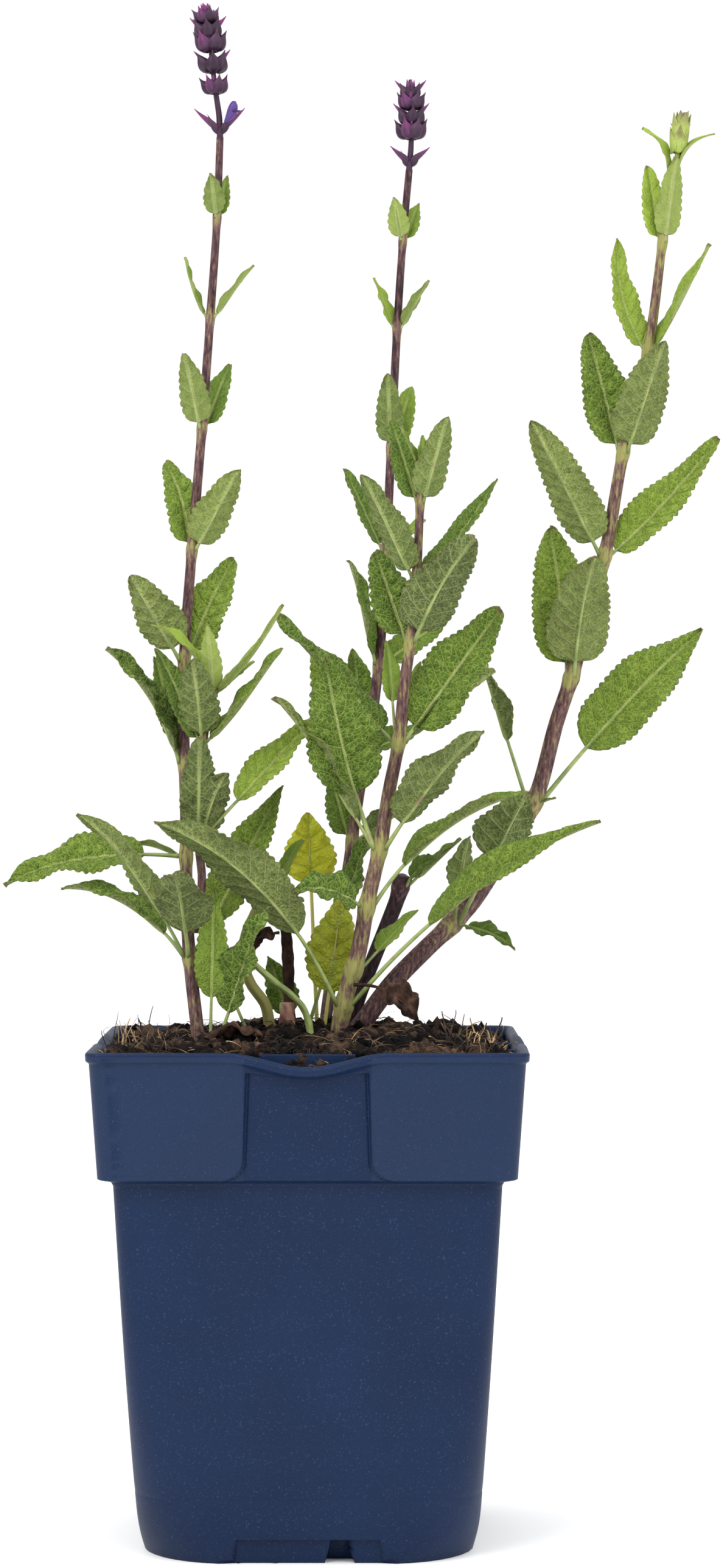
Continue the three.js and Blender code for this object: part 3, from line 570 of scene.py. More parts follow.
look = Look("pale_root")
colour = look.ramp(look.noise(90, 2), [
    (0.45, (0.018, 0.010, 0.007)), (0.54, (0.10, 0.055, 0.028)), (0.64, (0.48, 0.32, 0.16))])
straw = look.finish(colour, 0.8)

for piece, material in ((soil, peat), (crumbs, peat), (fibres, straw)):
    paint(piece, material)
    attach(piece, "root")
    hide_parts("soil")

# ---- Stems ----
# Seven living square stems, purple brown with green showing through, swollen a little where leaves join.
# They rise from one crown in the soil; two short ones are bent or pruned.
RIM = POT_TOP
# Radius at the foot and the top, share of green at the foot and the top, then points: right, back, over rim.
stems = {
    "left": (1.7, 0.9, (0.20, 0.09), [
        [-30, -23, -10], [-31, -22, 3], [-33, -20, 20], [-34.2, -17, 35], [-34.6, -14, 52], [-34.8, -11, 65],
        [-35.4, -8, 80], [-35.6, -6, 105], [-33.4, -4, 138.5], [-30.6, -3, 173], [-28.3, -2, 204.5],
        [-26.4, -1, 233], [-25.6, 0, 256]]),
    "side": (1.1, 0.9, (0.15, 0.15), [
        [-32, -20.6, 31], [-30.6, -22, 38], [-29.8, -22.5, 46], [-30.8, -22, 56], [-31, -20, 66],
        [-30.3, -19, 80], [-28.5, -18, 90], [-26.2, -18, 100]]),
    "front": (2.3, 0.9, (0.26, 0.17), [
        [6.5, -9, -8], [8.5, -10, 4], [10.5, -11, 14], [13.5, -12, 24], [16.5, -13, 40], [19.7, -13, 54],
        [22.3, -13, 70], [25, -13, 84], [26.6, -13, 100], [28.3, -13, 112], [30, -13, 130], [31, -13, 150],
        [31.6, -13, 164]]),
    "middle": (1.6, 0.9, (0.18, 0.03), [
        [3, 14, -8], [5, 16, 10], [8, 19, 30], [11, 21, 50], [14, 22, 70], [17.5, 22, 90], [20, 22, 112],
        [22, 21, 145], [23.2, 20, 170], [24.9, 20, 204], [26.6, 20, 230], [28.4, 20, 250]]),
    "right": (2.5, 1.0, (0.10, 0.30), [
        [6, 2, -8], [17, 5, 7], [24, 7, 16], [33, 10, 25], [40.5, 13, 32], [47, 15, 39], [56, 18, 53],
        [64.5, 20, 67], [71, 20, 90], [75.3, 20, 103], [80, 20, 120], [85, 20, 138.5], [90.3, 20, 168],
        [97.5, 20, 198], [101.7, 20, 229], [104.5, 20, 249], [106, 20, 253.5]]),
    "bent": (1.5, 1.2, (0.5, 0.5), [
        [-11, 2, -6], [-12.5, 0, 9], [-17, -2, 16], [-19, -3, 23], [-17.8, -3, 31], [-13.5, -3, 39]]),
    "pruned": (1.8, 2.0, (0.0, -0.12), [
        [10, 12, -5], [13.5, 12, 10], [18, 11, 22], [22, 10, 32], [25, 8, 40], [26.5, 6, 46]]),
}
# Heights over the rim at which leaves join.
swellings = {
    "left": (24, 52, 78, 107, 138.5, 173, 204.5, 233),
    "side": (57, 84, 98),
    "front": (10, 20, 38, 54, 84, 112, 130, 151, 162),
    "middle": (56, 82, 107, 140, 169.5, 204, 229.5),
    "right": (32, 67, 103, 138.5, 168, 198, 229, 249),
    "bent": (37,),
    "pruned": (43,),
}


def along(path, up):
    """Point and direction of a stem's centre line at a height over the rim, in millimetres."""
    def slope(i, k):
        a, b = max(i - 1, 0), min(i + 1, len(path) - 1)
        return (path[b][k] - path[a][k]) / (path[b][2] - path[a][2])
    i = 0
    while i < len(path) - 2 and up > path[i + 1][2]:
        i += 1
    span = path[i + 1][2] - path[i][2]
    t = (up - path[i][2]) / span
    point, direction = [0, 0, up + RIM], [0, 0, 1]
    for k in (0, 1):
        p, q, m, n = path[i][k], path[i + 1][k], slope(i, k) * span, slope(i + 1, k) * span
        point[k] = p + t * (m + t * (3 * (q - p) - 2 * m - n + t * (2 * (p - q) + m + n)))
        direction[k] = (m + t * (2 * (3 * (q - p) - 2 * m - n) + 3 * t * (2 * (p - q) + m + n))) / span
    return Vector(point), Vector(direction).normalized()


def stem_share(name, up):
    """How far up a stem a height over the rim is, from 0 to 1."""
    path = stems[name][-1]
    return (up - path[0][2]) / (path[-1][2] - path[0][2])


def stem_radius(name, up):
    """Radius of a stem at a height over the rim, swollen a little at each joint."""
    foot, top = stems[name][:2]
    radius = foot + (top - foot) * stem_share(name, up)
    for place in swellings[name]:
        radius *= 1 + 0.24 * math.exp(-(((up - place) / 1.9) ** 2))
    return radius


def stem_green(name, up):
    """Share of green in a stem's colour at a height over the rim, more of it around each joint."""
    low, high = stems[name][2]
    joint = max(math.exp(-(((up - place) / 3.2) ** 2)) for place in swellings[name])
    return low + (high - low) * stem_share(name, up) + 0.21 * joint


def stem_piece(name, path, radius_at, green_at, steps, sides=24, square=0.13, rough=0.0):
    """A closed stem with four rounded corners and shallow grooves between them, along a centre line."""
    tube = grid_piece(name, steps + 1, sides + 1)
    rows, shares = [], []
    for i in range(steps + 1):
        up = path[0][2] + (path[-1][2] - path[0][2]) * i / steps
        point, ahead = along(path, up)
        side = (Vector((0, 1, 0)).cross(ahead)).normalized()
        over = ahead.cross(side)
        row = []
        for k in range(sides + 1):
            a = 2 * math.pi * k / sides
            uneven = rough * math.sin(a * 3 + up * 0.9) * math.cos(up * 0.53 + a)
            r = radius_at(up) * (1 + square * math.cos(4 * a) + uneven)
            row.append(point + (side * math.cos(a) + over * math.sin(a)) * r)
        rows.append(row)
        shares += [green_at(up)] * (sides + 1)
    shape(tube, [[tuple(v) for v in row] for row in rows])
    mark(tube.data, "green", shares)
    tidy(tube, merge=1e-7, holes=True)
    return tube


look = Look("square_stem")
streak = look.noise(900, 4, 0.6, squeeze=0.10)
patch = look.noise(1100, 4, 0.65, squeeze=0.28)
lean = look.number("ADD", patch, look.read("green"))
both = look.number("ADD", look.number("MULTIPLY", streak, 0.45), lean)
colour = look.ramp(look.number("MULTIPLY", both, 0.62), [
    (0.40, (0.016, 0.007, 0.010)), (0.50, (0.062, 0.028, 0.034)), (0.60, (0.150, 0.082, 0.070)),
    (0.70, (0.25, 0.24, 0.075))])
finish = {"Specular IOR Level": 0.2, "Sheen Weight": 0.04}
bark = look.finish(colour, 0.62, (streak, 0.7, 0.0004), finish)

for name, (*_, path) in stems.items():
    radius_at = lambda up: stem_radius(name, up)
    green_at = lambda up: stem_green(name, up)
    steps = int((path[-1][2] - path[0][2]) / 1.6)
    piece = stem_piece(f"{name}_square_stem", path, radius_at, green_at, steps)
    paint(piece, bark)
    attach(piece, "root")
    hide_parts(f"{name}_stem")

# ---- Leaves ----
# Soft wrinkled leaves in opposite tiers. Each grows on its stalk from a node of the stem, with round
# teeth along the edge, sunken veins above and raised pale veins beneath.
FOLD = 0.30
BLADE = 0.26
TOOTH = 2.15
VEIN = 4.4
RIB_STEPS = 24


def blade_share(s, broad):
    """A blade's width along its length; broad blades are blunt at their base."""
    return np.sin(np.pi * np.clip(s, 0, 1) ** (0.62 - 0.09 * broad)) ** (0.8 - 0.25 * broad)


def midrib(root, row):
    """The leaf's centre line as a function, then its length, its width and its stalk's share."""
    right, back, up, width, front, bow, stalk = list(row) + [0, 0, 0.08][len(row) - 4:]
    reach = Vector((right, back, up))
    level = math.hypot(right, back)
    upper = Vector((-right * up / level, -back * up / level, level)).normalized()
    face = upper * (1 - abs(front)) + Vector((0, -front, 0))
    bend = root + reach * 0.5 + upper * (2 * bow * reach.length)
    tip = root + reach

    def at(u, twist=0.0):
        point = root * (1 - u) ** 2 + bend * (2 * u * (1 - u)) + tip * u**2
        ahead = ((bend - root) * (1 - u) + (tip - bend) * u).normalized()
        side = ahead.cross(face).normalized()
        if twist:
            side = Matrix.Rotation(twist, 3, ahead) @ side
        return point, ahead, side, side.cross(ahead).normalized()

    return at, reach.length, width, stalk


def leaf_parts(name, root, row, tone, age, seed, crumple=0.0):
    """One leaf as two pieces, its blade and its stalk, which runs on under the blade as the midrib."""
    at, length, width, stalk = midrib(root, row)
    odd = random.Random(seed)
    blade = length * (1 - stalk)
    teeth = max(6, int(blade / TOOTH))
    rows = max(24, min(132, teeth * 6))
    columns = 19 if width > 6 else 11
    ribs = max(4.0, min(10.0, blade / VEIN))
    twist = odd.uniform(-0.22, 0.22)
    droop = odd.uniform(0.00, 0.05) * length
    waves = odd.uniform(1.4, 2.6)
    phase = odd.uniform(0, 6.28)
    amount = odd.uniform(0.045, 0.11)
    s = np.linspace(0, 1, rows)
    v = np.linspace(-1, 1, columns)
    v = np.sign(v) * np.abs(v) ** 0.93
    broad = min(1.0, max(0.0, (0.22 - stalk) / 0.1)) if width > 7 else 0.3
    half = np.maximum(width * blade_share(s, broad) / 2, 0.28)
    tooth = np.abs(np.sin(math.pi * teeth * s)) ** 0.55
    finer = 1 + max(0.0, (11 - width) / 9)
    calm = min(1.0, 0.10 + 0.9 * max(0.0, (width - 4) / 10))
    scallop = 1 + 0.25 * np.sin(s * 37 + phase) + 0.2 * np.sin(s * 71 + 2 * phase)
    places = np.zeros((rows, columns, 3))
    vein = np.zeros((rows, columns))
    flat = np.zeros((rows, columns, 2))
    reach = np.abs(v)
    for i in range(rows):
        point, ahead, side, normal = at(stalk + (1 - stalk) * s[i], twist * s[i])
        h = half[i]
        edge = np.clip((reach - 0.86) / 0.14, 0, 1)
        depth = min(1.3, 0.19 * h + 0.14) * (tooth[i] - 0.75) * (0.35 + 0.65 * math.sin(math.pi * s[i]))
        toothed = 1 + depth / h * edge * scallop[i]
        c = ribs * (s[i] - 0.17 * reach**1.25 * (1 - 0.3 * s[i]))
        vein[i] = c
        quilt = np.abs(np.sin(np.pi * c)) ** 0.6 * np.clip(reach * 5, 0, 1) * (1 - reach**6)
        quilt = quilt * (0.7 + 0.3 * np.abs(np.sin(np.pi * reach * max(2.0, h / 2.0) + 1.7 * np.round(c))))
        blister = np.sin(reach * h * 1.9 + 2.4 * np.round(c)) * np.sin(np.pi * c)
        blister = blister * np.clip(reach * 3, 0, 1) * (1 - reach**8)
        swell = math.sin(math.pi * min(1, s[i] * 0.92 + 0.06)) ** 0.5
        wave = np.sin(2 * math.pi * waves * s[i] + phase + (v > 0) * 2.0)
        lift = h * (FOLD + 0.12) * reach**1.15 - 0.12 * h * reach**2
        lift = lift + min(1.15, 0.0068 * width**2) * (quilt + 0.25 * blister) * swell
        lift = lift - 0.32 * np.exp(-((reach * h / 0.55) ** 2)) * min(1, width / 8)
        lift = lift + amount * width * wave * reach**2.2 * min(1, s[i] * 4)
        lift = lift - droop * max(0, s[i] - 0.45) ** 2 * 3.3
        if crumple:
            lift = lift + crumple * h * (np.sin(v * 3.1 + s[i] * 9) + 0.6 * np.sin(v * 6.3 - s[i] * 17 + 1))
        aside = v * h * toothed * (1 - 0.05 * reach**2)
        places[i] = np.array(point)[None] + np.outer(aside, side) + np.outer(lift, normal)
        flat[i, :, 0] = s[i] * blade / 10 * finer
        flat[i, :, 1] = v * h / 10 * finer
    sheet = grid_piece(name, rows, columns)
    shape(sheet, places)
    mesh = sheet.data
    everywhere = np.ones((rows, columns))
    mark(mesh, "vein", vein)
    mark(mesh, "across", everywhere * v)
    mark(mesh, "rib", v * half[:, None])
    mark(mesh, "along", everywhere * s[:, None])
    for key, value in (("tone", tone), ("age", age), ("calm", calm)):
        mark(mesh, key, everywhere * value)
    corner = np.zeros(len(mesh.loops), int)
    mesh.loops.foreach_get("vertex_index", corner)
    mesh.uv_layers[0].name = "blade"
    mesh.uv_layers["blade"].data.foreach_set("uv", flat.reshape(-1, 2)[corner].reshape(-1).astype(np.float32))
    mesh.shade_smooth()
    thick = sheet.modifiers.new("thickness", "SOLIDIFY")
    thick.thickness = BLADE * MM
    thick.offset = -1
    thick.material_offset = 1
    thick.material_offset_rim = 0
    for material in leaf_finishes:
        mesh.materials.append(material)
    bpy.context.view_layer.objects.active = sheet
    bpy.ops.object.modifier_apply(modifier="thickness")
    start = 0.34 + 0.020 * width
    points, radii = [], []
    for i in range(RIB_STEPS + 1):
        u = i / RIB_STEPS * (stalk + (1 - stalk) * 0.94)
        local = max(0.0, (u - stalk) / (1 - stalk))
        point, ahead, side, normal = at(u, twist * local)
        radius = start * (1 - 0.25 * min(1, u / max(stalk, 0.02))) * (1 - 0.86 * local)
        under = (0.5 * radius + 0.36 * min(1, width / 8)) * min(1, local * 14)
        under = under + droop * max(0, local - 0.45) ** 2 * 3.3
        points.append(point - normal * under)
        radii.append(max(radius, 0.09))
    corners, quads = thread(points, radii, sides=8)
    rod = piece_of(name + "_stalk", [tuple(p * MM) for p in corners], quads)
    for key, value in (("tone", tone), ("age", age)):
        mark(rod.data, key, np.full(len(corners), value))
    rod.data.uv_layers.new(name="blade")
    for material in leaf_finishes:
        rod.data.materials.append(material)
    rod.data.polygons.foreach_set("material_index", np.full(len(quads), 2, np.int32))
    rod.data.shade_smooth()
    return [sheet, rod]


def gather(name, parts, node):
    """Joins parts into one named piece that stands for a CAD node."""
    piece = join(parts)
    piece.name = piece.data.name = name
    piece.select_set(False)
    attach(piece, "root")
    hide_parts(node)
    return piece


def leaf_finish(name, lower):
    """The netted leaf surface: green above, paler with raised veins beneath."""
    look = Look(name)
    number, mix = look.number, look.mix

    def fade(value, low, high, start=1.0, end=0.0):
        inputs = {"Value": value, "From Min": low, "From Max": high, "To Min": start, "To Max": end}
        return look.add("ShaderNodeMapRange", inputs, interpolation_type="SMOOTHSTEP").outputs["Result"]

    def cells(scale, randomness):
        inputs = {"Vector": flat, "Scale": scale, "Randomness": randomness}
        return look.add("ShaderNodeTexVoronoi", inputs, feature="DISTANCE_TO_EDGE").outputs["Distance"]

    if lower:
        greens = (0.080, 0.118, 0.034), (0.165, 0.225, 0.055), (0.340, 0.430, 0.100)
        line_colour, line_share, old = (0.42, 0.48, 0.17, 1), 0.72, (0.74, 0.72, 0.11, 1)
        roughness, depth = 0.75, -0.0010
        gloss = {"Specular IOR Level": 0.12, "Sheen Weight": 0.10, "Sheen Roughness": 0.6}
    else:
        greens = (0.022, 0.055, 0.009), (0.080, 0.155, 0.018), (0.300, 0.420, 0.050)
        line_colour, line_share, old = (0.46, 0.58, 0.11, 1), 0.57, (0.78, 0.80, 0.08, 1)
        roughness, depth = 0.58, 0.0009
        gloss = {"Specular IOR Level": 0.22, "Sheen Weight": 0.03, "Sheen Roughness": 0.6}

    tone, age, calm, length = look.read("tone"), look.read("age"), look.read("calm"), look.read("along")
    across, beside_rib = number("ABSOLUTE", look.read("across")), number("ABSOLUTE", look.read("rib"))
    flat = look.add("ShaderNodeUVMap", uv_map="blade").outputs["UV"]
    wobble = look.noise(3.2, 2, at=flat)
    bent = number("ADD", look.read("vein"), number("MULTIPLY_ADD", wobble, 0.26, -0.13))
    near = number("SUBTRACT", 0.5, number("ABSOLUTE", number("SUBTRACT", number("FRACT", bent), 0.5)))
    lateral = number("MULTIPLY", fade(near, 0.02, 0.085), fade(across, 0.75, 1.0, 1.0, 0.35))
    middle = number("MULTIPLY", fade(beside_rib, 0.22, 0.55), fade(length, 0.55, 1.0, 1.0, 0.3))
    net, fine = cells(7.6, 0.95), cells(18.0, 1.0)
    cell = number("MULTIPLY", fade(net, 0.0, 0.12), 0.80)
    small = number("MULTIPLY", fade(fine, 0.01, 0.13), 0.22)
    lines = number("MAXIMUM", number("MAXIMUM", lateral, middle), number("MAXIMUM", cell, small))
    cloud = look.noise(2.1, 3, 0.6, at=flat)
    patchy = number("MULTIPLY", number("MULTIPLY_ADD", cloud, 0.36, -0.18), calm)
    shade = number("ADD", number("MULTIPLY_ADD", tone, 0.30, 0.5), patchy)
    aged = mix(age, look.ramp(shade, list(zip((0.15, 0.5, 0.85), greens))), old)
    line_strength = number("MULTIPLY_ADD", calm, 0.85 * line_share, 0.15 * line_share)
    line_strength = number("MULTIPLY", lines, line_strength)
    rib_strength = number("MULTIPLY", middle, number("MULTIPLY_ADD", calm, 0.45, 0.15))
    netted = mix(rib_strength, mix(line_strength, aged, line_colour), (0.60, 0.66, 0.25, 1))
    margin = number("MULTIPLY", fade(across, 0.955, 1.0, 0.0, 1.0), 0.45)
    withered = fade(number("MULTIPLY_ADD", cloud, 0.10, length), 1.015, 1.05, 0.0, 1.0)
    brown = number("MAXIMUM", margin, number("MULTIPLY", withered, 0.9))
    colour = mix(brown, netted, (0.20, 0.14, 0.060, 1))
    puffed = number("MULTIPLY", fade(net, 0.0, 0.35, 0.0, 1.0), 0.65)
    puffed = number("ADD", puffed, number("MULTIPLY", fade(fine, 0.0, 0.35, 0.0, 1.0), 0.35))
    height = number("SUBTRACT", puffed, number("MULTIPLY", lateral, 0.8))
    height = number("MULTIPLY", height, number("MULTIPLY", calm, calm))
    look.finish(colour, roughness, (height, 0.85, depth), gloss)
    lit = mix(0.5, colour, mix(age, (0.36, 0.50, 0.05, 1), (0.85, 0.78, 0.06, 1)))
    glow = look.add("ShaderNodeBsdfTranslucent", {"Color": lit})
    share = number("MULTIPLY_ADD", age, 0.25, 0.27)
    blend = look.add("ShaderNodeMixShader", {0: share, 1: look.shader.outputs[0], 2: glow.outputs[0]})
    look.tree.links.new(blend.outputs[0], look.tree.nodes["Material Output"].inputs["Surface"])
    return look.material


look = Look("leaf_stalk")
fresh = look.ramp(look.noise(180, 3), [
    (0.35, (0.15, 0.20, 0.055)), (0.60, (0.27, 0.33, 0.10)), (0.75, (0.22, 0.15, 0.10))])
petiole = look.finish(look.mix(look.read("age"), fresh, (0.52, 0.46, 0.12, 1)), 0.6)
leaf_finishes = (leaf_finish("leaf_upper_side", False), leaf_finish("leaf_underside", True), petiole)

# For each stem, its tiers: height over the rim, then a row for each leaf with its tip's distance to the
# right, back and up, its width, how far it faces the front, its bow and its stalk's share of the length.
tiers = {
    "left": [
      [24, [[-36, 4, 21, 13, 0.1, 0.11, 0.2], [-29, -16, 42, 12, -0.2, 0.04, 0.25],
        [-3, -24, 25, 17, 0, 0.05, 0.25], [25.5, 18, 48, 15, 0.6, 0, 0.2]]],
      [52, [[-52, 4, -7, 15, 0.5, 0.06, 0.2], [-16, 7, 4, 6, -0.2, 0.05, 0.1]]],
      [78, [[-21.5, -5, 32.5, 15, 0.3, 0.08, 0.1], [-8.5, 7.5, 31, 8, 0.5, 0, 0.2]]],
      [107, [[-14.5, -9, 24, 15, -0.6, 0, 0.15], [14, 10, 29.5, 14, 0.7, 0.04, 0.1]]],
      [138.5, [[-8, 8, 26, 11.5, 0.6, 0.08], [13.5, -8, 22.5, 12, -0.6, 0]]],
      [173, [[-4.5, -9, 20.5, 9, -0.7, 0], [7.5, 8, 19.5, 8, 0.7, 0]]],
      [204.5, [[-7, 2, 17.5, 4.5, 0, -0.05], [12, -2, 15, 5.5, 0, 0]]],
      [233, [[-1.5, -5, 12, 6.5, -0.8, 0], [2.5, 5, 13, 5, 0.8, 0]]],
    ],
    "side": [
      [57, [[8, -5, 19, 14, -0.5, 0.05, 0.1], [1, -13, 29, 11, -0.7, 0.05, 0.1],
        [34, 14, 36, 12, 0.5, 0, 0.3]]],
      [84, [[-2.5, -12, 23, 12, -0.5, 0.04, 0.1], [20.5, -3, 27, 10, 0.2, -0.05, 0.05],
        [-13, 5, 27, 9, 0.6, 0, 0.05]]],
      [98, [[-17, -2, 20, 6.5, 0.3, 0.12, 0.02], [19, -3, 24.5, 7.5, 0.1, -0.05, 0.02],
        [-1.5, -6, 19, 6.5, -0.8, 0, 0.02], [11, 6, 9, 6, 0.2, 0, 0.02]]],
    ],
    "front": [
      [10, [[-52, -28, 53, 17, -0.6, 0.1, 0.3], [71, -12, 53, 17, 0.35, 0.06, 0.36]]],
      [20, [[18, 8, 17, 8, 0.3, 0, 0.3]]],
      [38, [[46, 6, 33, 15, 0.1, 0.1, 0.25], [-20, -10, 5, 13, 0.5, 0.1, 0.1]]],
      [54, [[-15, -7, 54, 22, 0.85, -0.03, 0.3], [28, -17, 34, 17, -0.35, 0.03, 0.2],
        [-27, -10, 44, 13, 0.1, 0, 0.2]]],
      [84, [[-34.5, 9, 36, 13, 0.3, 0, 0.1], [29, 7, 38, 19, 0.7, 0, 0.12], [27, 15, 21, 12, -0.3, 0, 0.1],
        [-3, 5, 29, 6, 0.3, 0, 0.4], [6, 6, 23, 5, 0.3, 0, 0.4]]],
      [112, [[-10, 7, 26, 14, 0.8, 0, 0.1], [18, -13, 29, 17, -0.6, 0.05, 0.1]]],
      [130, [[-15, -7, 29, 11, -0.5, 0, 0.08], [22, 2, 28.5, 10, 0.4, -0.05, 0.05]]],
      [151, [[-8, 5, 24, 10, 0.7, 0], [7.5, -5, 24, 10, -0.7, 0]]],
      [162, [[-6, -1, 11, 4, 0.3, 0], [6, 5, 13, 5, 0.3, 0], [0.3, -2, 8, 3, 0.6, 0]]],
    ],
    "middle": [
      [56, [[-6, 6, 18, 10, 0.7, 0, 0.1], [26, -4, 17, 11, -0.3, 0, 0.1]]],
      [82, [[-16, 6, 30, 13, 0.8, 0, 0.35], [-4, 8, 30, 11, 0.7, 0, 0.1], [18, 7, 8, 9, 0.5, 0, 0.1]]],
      [107, [[-7.5, -7, 30, 11, 0.5, 0, 0.1], [21, 9, 15, 10, 0.7, 0, 0.1]]],
      [140, [[-12, 3, 24, 9, 0.4, 0], [11, 5, 10, 7, 0.4, 0]]],
      [169.5, [[-1, -7, 21, 8.5, -0.8, 0], [6, 8, 19, 8, 0.8, 0]]],
      [204, [[-6.5, 1, 15, 5.5, 0.4, 0], [9, -1, 14, 5.5, -0.3, 0]]],
      [229.5, [[-2.5, -4, 12, 6.5, -0.8, 0], [4.5, 4, 11.5, 5.5, 0.8, 0]]],
    ],
    "right": [
      [32, [[21, -15, 38, 18, -0.6, 0, 0.5], [18, -13, -6, 7, 0.4, 0.05, 0.15],
        [4, -13, 26, 9, 0.3, 0, 0.4]]],
      [67, [[-14.5, 3, 40, 13, -0.3, 0, 0.45], [49, 4, 50.5, 20, 0.7, 0.02, 0.3], [6, -4, 1.5, 2.5, 0.2, 0]]],
      [103, [[-6, 9, 44.5, 19, 0.85, 0.03, 0.1], [6, -15, 35, 19, -0.7, 0.06, 0.12]]],
      [138.5, [[-21.5, -8, 38.5, 15, -0.6, 0, 0.1], [33, 3, 34.5, 14, 0.6, -0.03, 0.05]]],
      [168, [[-9.5, 8, 36, 15.5, 0.75, 0], [11, -11, 31.5, 15.5, -0.75, 0]]],
      [198, [[-8.5, 3, 32.5, 10, 0.55, -0.08, 0.04], [17, -2, 30.5, 9, 0.3, -0.02, 0.04]]],
      [229, [[-4, 4, 23, 8, 0.8, 0], [3.5, -5, 24, 8, -0.8, 0]]],
      [249, [[-8.5, 1, 13.5, 4, 0.3, 0.15, 0.02], [12, -1, 12, 4, 0.2, 0.15, 0.02]]],
    ],
    "bent": [[37, [[12, 5, 20, 7, 0.4, 0, 0.1], [13, -5, 3, 8, 0, 0.05, 0.1]]]],
    "pruned": [[43, [[10, -9, 8, 9, 0.5, 0.1, 0.2], [17, -1, 14, 9, 0.2, 0, 0.2]]]],
}
# Tones of leaves that are clearly lighter or darker than the rest, by stem, tier and leaf.
bright = {
    ("left", 0, 2): -0.5, ("left", 1, 0): 0.3, ("left", 3, 1): 0.5, ("left", 4, 0): 0.2, ("left", 4, 1): 0.5,
    ("side", 0, 0): -0.5, ("side", 0, 1): -0.7, ("side", 0, 2): 0.9, ("side", 2, 0): 0.9, ("side", 2, 1): 0.8,
    ("side", 2, 2): 1.0, ("side", 2, 3): 0.9, ("front", 0, 0): 0.1, ("front", 0, 1): 0.35,
    ("front", 3, 0): 0.0, ("front", 4, 1): 0.1, ("front", 5, 1): -0.7, ("middle", 0, 1): -0.6,
    ("middle", 1, 0): 0.7, ("right", 0, 0): -0.4, ("right", 2, 0): 0.5, ("right", 3, 1): 0.6,
    ("right", 5, 0): 0.5, ("right", 5, 1): 0.4, ("right", 6, 0): 0.6, ("right", 7, 0): 0.7,
    ("right", 7, 1): 0.7,
}
dice = random.Random(5)
count = 0
for name, rows in tiers.items():
    for i, (up, leaves) in enumerate(rows):
        point = along(stems[name][-1], up)[0]
        parts = []
        for k, row in enumerate(leaves):
            count += 1
            out = Vector((row[0], row[1], 0)).normalized() * (stem_radius(name, up) * 0.8)
            leaf = [row[0] - out.x, row[1] - out.y, *row[2:]]
            tone = dice.uniform(-0.45, 0.45)
            tone = bright.get((name, i, k), tone) + 0.55 * min(1.0, max(0.0, (up - 120) / 90))
            parts += leaf_parts(f"{name}_leaf_{count}", point + out, leaf, tone, 0.0, count)
        gather(f"{name}_tier_{i + 1}", parts, f"{name}_leaves_{i + 1}")

# ---- Leaves from the crown ----
# Long-stalked leaves that rise straight out of the soil between the stems; two of them are turning yellow.
basal = {
    "left_basal_leaves": [[-27.5, -27, -7], [[1, 6, 50, 10, 0.7, 0, 0.4], [15, -2, 46, 15, 0.5, 0, 0.35]]],
    "back_basal_leaf": [[-15, -6, -4], [[-16, 12, 36, 10, 0.5, 0, 0.5]]],
    "yellow_leaf": [[2, 24, -5], [[-3, 5, 69, 16, 0.85, 0, 0.7]]],
    "inner_basal_leaves": [[-3, 9, -5], [[20, 2, 65, 12, 0.4, 0, 0.6], [-9, 4, 28, 10, 0.8, 0, 0.4]]],
    "yellowing_leaf": [[3, -2, -5], [[6, 2, 46, 16, 0.85, 0, 0.4]]],
}
ages = {"yellow_leaf": 0.86, "yellowing_leaf": 0.62}


def over_rim(place):
    """A point whose height was counted from the rim."""
    return Vector(place) + Vector((0, 0, RIM))


for name, (root, rows) in basal.items():
    parts = []
    age = ages.get(name, 0.0)
    crumple = 0.10 if age else 0.0
    for row in rows:
        count += 1
        tone = dice.uniform(-0.5, 0.5)
        parts += leaf_parts(f"crown_leaf_{count}", over_rim(root), row, tone, age, count, crumple)
    gather(f"{name}_blades", parts, name)

# ---- Dead and cut pieces ----
# Dry brown stubs of old stems, a cut leaf stalk and shrivelled leaves that lie or hang near the soil.
look = Look("dry_brown")
tone = look.noise(240, 5, 0.7)
colour = look.ramp(tone, [
    (0.36, (0.010, 0.006, 0.005)), (0.52, (0.040, 0.021, 0.015)), (0.70, (0.11, 0.058, 0.038))])
dry = look.finish(colour, 0.85, (tone, 0.6, 0.0005), {"Specular IOR Level": 0.12})

look = Look("cut_reddish_stalk")
tone = look.noise(200, 4)
colour = look.ramp(tone, [(0.35, (0.16, 0.06, 0.05)), (0.55, (0.34, 0.19, 0.13)), (0.7, (0.46, 0.40, 0.22))])
rosy = look.finish(colour, 0.7)

stumps = {
    "dead_stem": (1.5, 1.6, dry, [[-5.5, 5, -6], [-6, 4, 10], [-6.5, 3, 25], [-7.6, 2, 38]]),
    "cut_stub": (2.0, 2.0, rosy, [[-6.3, -14, -5], [-6.3, -14, 11]]),
    "cut_leaf_stalk": (1.0, 0.8, petiole, [[1, -16, -2], [-2, -16, 10], [-12, -18, 19], [-20.5, -20, 26.5]]),
}
for name, (foot, top, material, path) in stumps.items():
    low, high = path[0][2], path[-1][2]
    radius_at = lambda up: foot + (top - foot) * (up - low) / (high - low)
    piece = stem_piece(f"{name}_wood", path, radius_at, lambda up: 0.0, 40, square=0.05, rough=0.12)
    paint(piece, material)
    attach(piece, "root")
    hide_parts(name)

